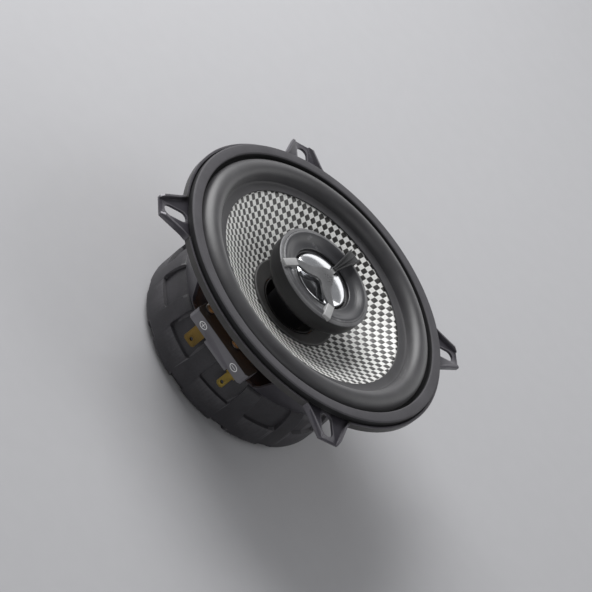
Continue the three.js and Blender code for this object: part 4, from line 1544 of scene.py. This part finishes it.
    def build_post(self) -> None:
        """Build the hollow post and its nut."""
        self.plain_ring("post", "tweeter_post", (2.1, 3.1), "plated_steel", STEEL, 64, 0.2)
        nut = Span.of("tweeter_post_nut")
        corners = [polar(nut.radius, 60 * i) for i in range(6)]
        block = Shape.slab([(p.x, p.y) for p in corners], nut.low.z, nut.high.z)
        block.cut(Shape.turned([(0, 0), (3.3, 0), (3.3, 10), (0, 10)], 48))
        block.soften(0.25, 2, 30.0)
        self.piece("nut", block, "plated_steel", STEEL, ["tweeter_post_nut"])

    def build(self) -> None:
        """Build every piece of the tweeter."""
        self.build_pod()
        self.build_inside()
        self.build_dome()
        self.build_face()
        self.build_bridge()
        self.build_post()


# ------------------------------------------------------------------ surroundings
@dataclass
class Studio:
    """The pale floor, the soft lights and the camera."""

    aim: Vector = field(default_factory=lambda: Vector((0, 0, 55)) * MM)
    azimuth: float = 6.209
    elevation: float = 33.011
    roll: float = 50.994
    distance: float = 0.9916
    offset: tuple[float, float] = (-0.00963, -0.006198)
    lens: float = 156.2
    floor_z: float = -0.0002
    room_tint: tuple[float, float, float, float] = (0.80, 0.81, 0.83, 1)
    room_strength: float = 0.28
    card_sides: Point2 = (1.3, 0.34)
    flag_radius: float = 0.42
    flag_place: tuple[float, float, float] = (0, -0.05, 0.75)

    def build_floor(self) -> None:
        """Build the pale floor that the speaker stands on."""
        bm = bmesh.new()
        bmesh.ops.create_grid(bm, x_segments=2, y_segments=2, size=6)
        mesh = bpy.data.meshes.new("floor")
        bm.to_mesh(mesh)
        bm.free()
        floor = bpy.data.objects.new("floor", mesh)
        bpy.context.scene.collection.objects.link(floor)
        mesh.materials.append(Finish("floor_paper", (0.47, 0.47, 0.485), (0.46, 0.46, 0.475), 0.9,
                                     relief=0.0, wear=0.0).material())
        floor.location.z = self.floor_z

    def add_light(self, name: str, direction: Sequence[float], distance: float, size: float,
                  watts: float, tint: tuple[float, float, float] = (1, 1, 1)) -> None:
        """Hang one soft light that faces the speaker.

        Args:
            name: The light's name.
            direction: Where it hangs, seen from the speaker.
            distance: How far away it hangs, in metres.
            size: Its side, in metres.
            watts: Its power.
            tint: Its colour.
        """
        light = bpy.data.lights.new(name, "AREA")
        light.shape = "SQUARE"
        light.size = size
        light.energy = watts
        light.color = tint
        holder = bpy.data.objects.new(name, light)
        way = Vector(direction).normalized()
        holder.location = self.aim + way * distance
        holder.rotation_mode = "QUATERNION"
        holder.rotation_quaternion = way.to_track_quat("Z", "Y")
        bpy.context.scene.collection.objects.link(holder)

    def add_card(self) -> None:
        """Hang the bright card and the dark flag that only show as reflections in the metal."""
        self.add_light("bright_card", (0.0, 0.95, 0.20), 0.9, 0.62, 1.35)
        card = bpy.data.objects["bright_card"]
        card.data.shape = "RECTANGLE"
        card.data.size, card.data.size_y = self.card_sides
        card.visible_diffuse = False
        bm = bmesh.new()
        bmesh.ops.create_circle(bm, cap_ends=True, segments=32, radius=self.flag_radius)
        mesh = bpy.data.meshes.new("flag")
        bm.to_mesh(mesh)
        bm.free()
        flag = bpy.data.objects.new("dark_flag", mesh)
        flag.location = self.flag_place
        for way in ("visible_camera", "visible_diffuse", "visible_shadow", "visible_transmission"):
            setattr(flag, way, False)
        mesh.materials.append(SHADOW.material())
        bpy.context.scene.collection.objects.link(flag)

    def build_lights(self) -> None:
        """Hang the softboxes and light the room."""
        self.add_card()
        self.add_light("overhead_softbox", (-0.81, 0.26, 0.53), 0.9, 0.7, 11)
        self.add_light("front_fill", (0.35, -0.85, 0.45), 1.2, 0.9, 2.5)
        self.add_light("far_fill", (0.58, 0.49, 0.65), 1.2, 0.8, 3)
        world = bpy.data.worlds.new("room")
        world.use_nodes = True
        sky = world.node_tree.nodes["Background"].inputs
        sky["Color"].default_value = self.room_tint
        sky["Strength"].default_value = self.room_strength
        bpy.context.scene.world = world
        bpy.context.scene.view_settings.view_transform = "Standard"

    def build_camera(self) -> None:
        """Set the camera up."""
        azimuth, elevation, roll = (math.radians(v) for v in (self.azimuth, self.elevation, self.roll))
        back = Vector((math.sin(azimuth) * math.cos(elevation), -math.cos(azimuth) * math.cos(elevation),
                       math.sin(elevation)))
        right = (-back).cross(Vector((0, 0, 1))).normalized()
        up = right.cross(-back)
        across = right * math.cos(roll) + up * math.sin(roll)
        upright = up * math.cos(roll) - right * math.sin(roll)
        camera = bpy.data.cameras.new("camera")
        camera.lens = self.lens
        camera.sensor_width = 36
        camera.clip_start = 0.05
        holder = bpy.data.objects.new("camera", camera)
        place = self.aim + back * self.distance + across * self.offset[0] + upright * self.offset[1]
        turn = Matrix((across, upright, back)).transposed().to_4x4()
        holder.matrix_world = Matrix.Translation(place) @ turn
        bpy.context.scene.collection.objects.link(holder)
        bpy.context.scene.camera = holder

    def build(self) -> None:
        """Build the surroundings."""
        self.build_floor()
        self.build_lights()
        self.build_camera()


def main() -> None:
    """Build the speaker around its frame."""
    logging.basicConfig(level=logging.INFO, format="%(name)s %(message)s")
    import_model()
    for assembly in (Basket(), Woofer(), Motor(), Terminals(), Tweeter()):
        assembly.build()
        LOG.info("%s: %d pieces", type(assembly).__name__, len(assembly.made))
    Studio().build()


if __name__ == "__main__":
    main()
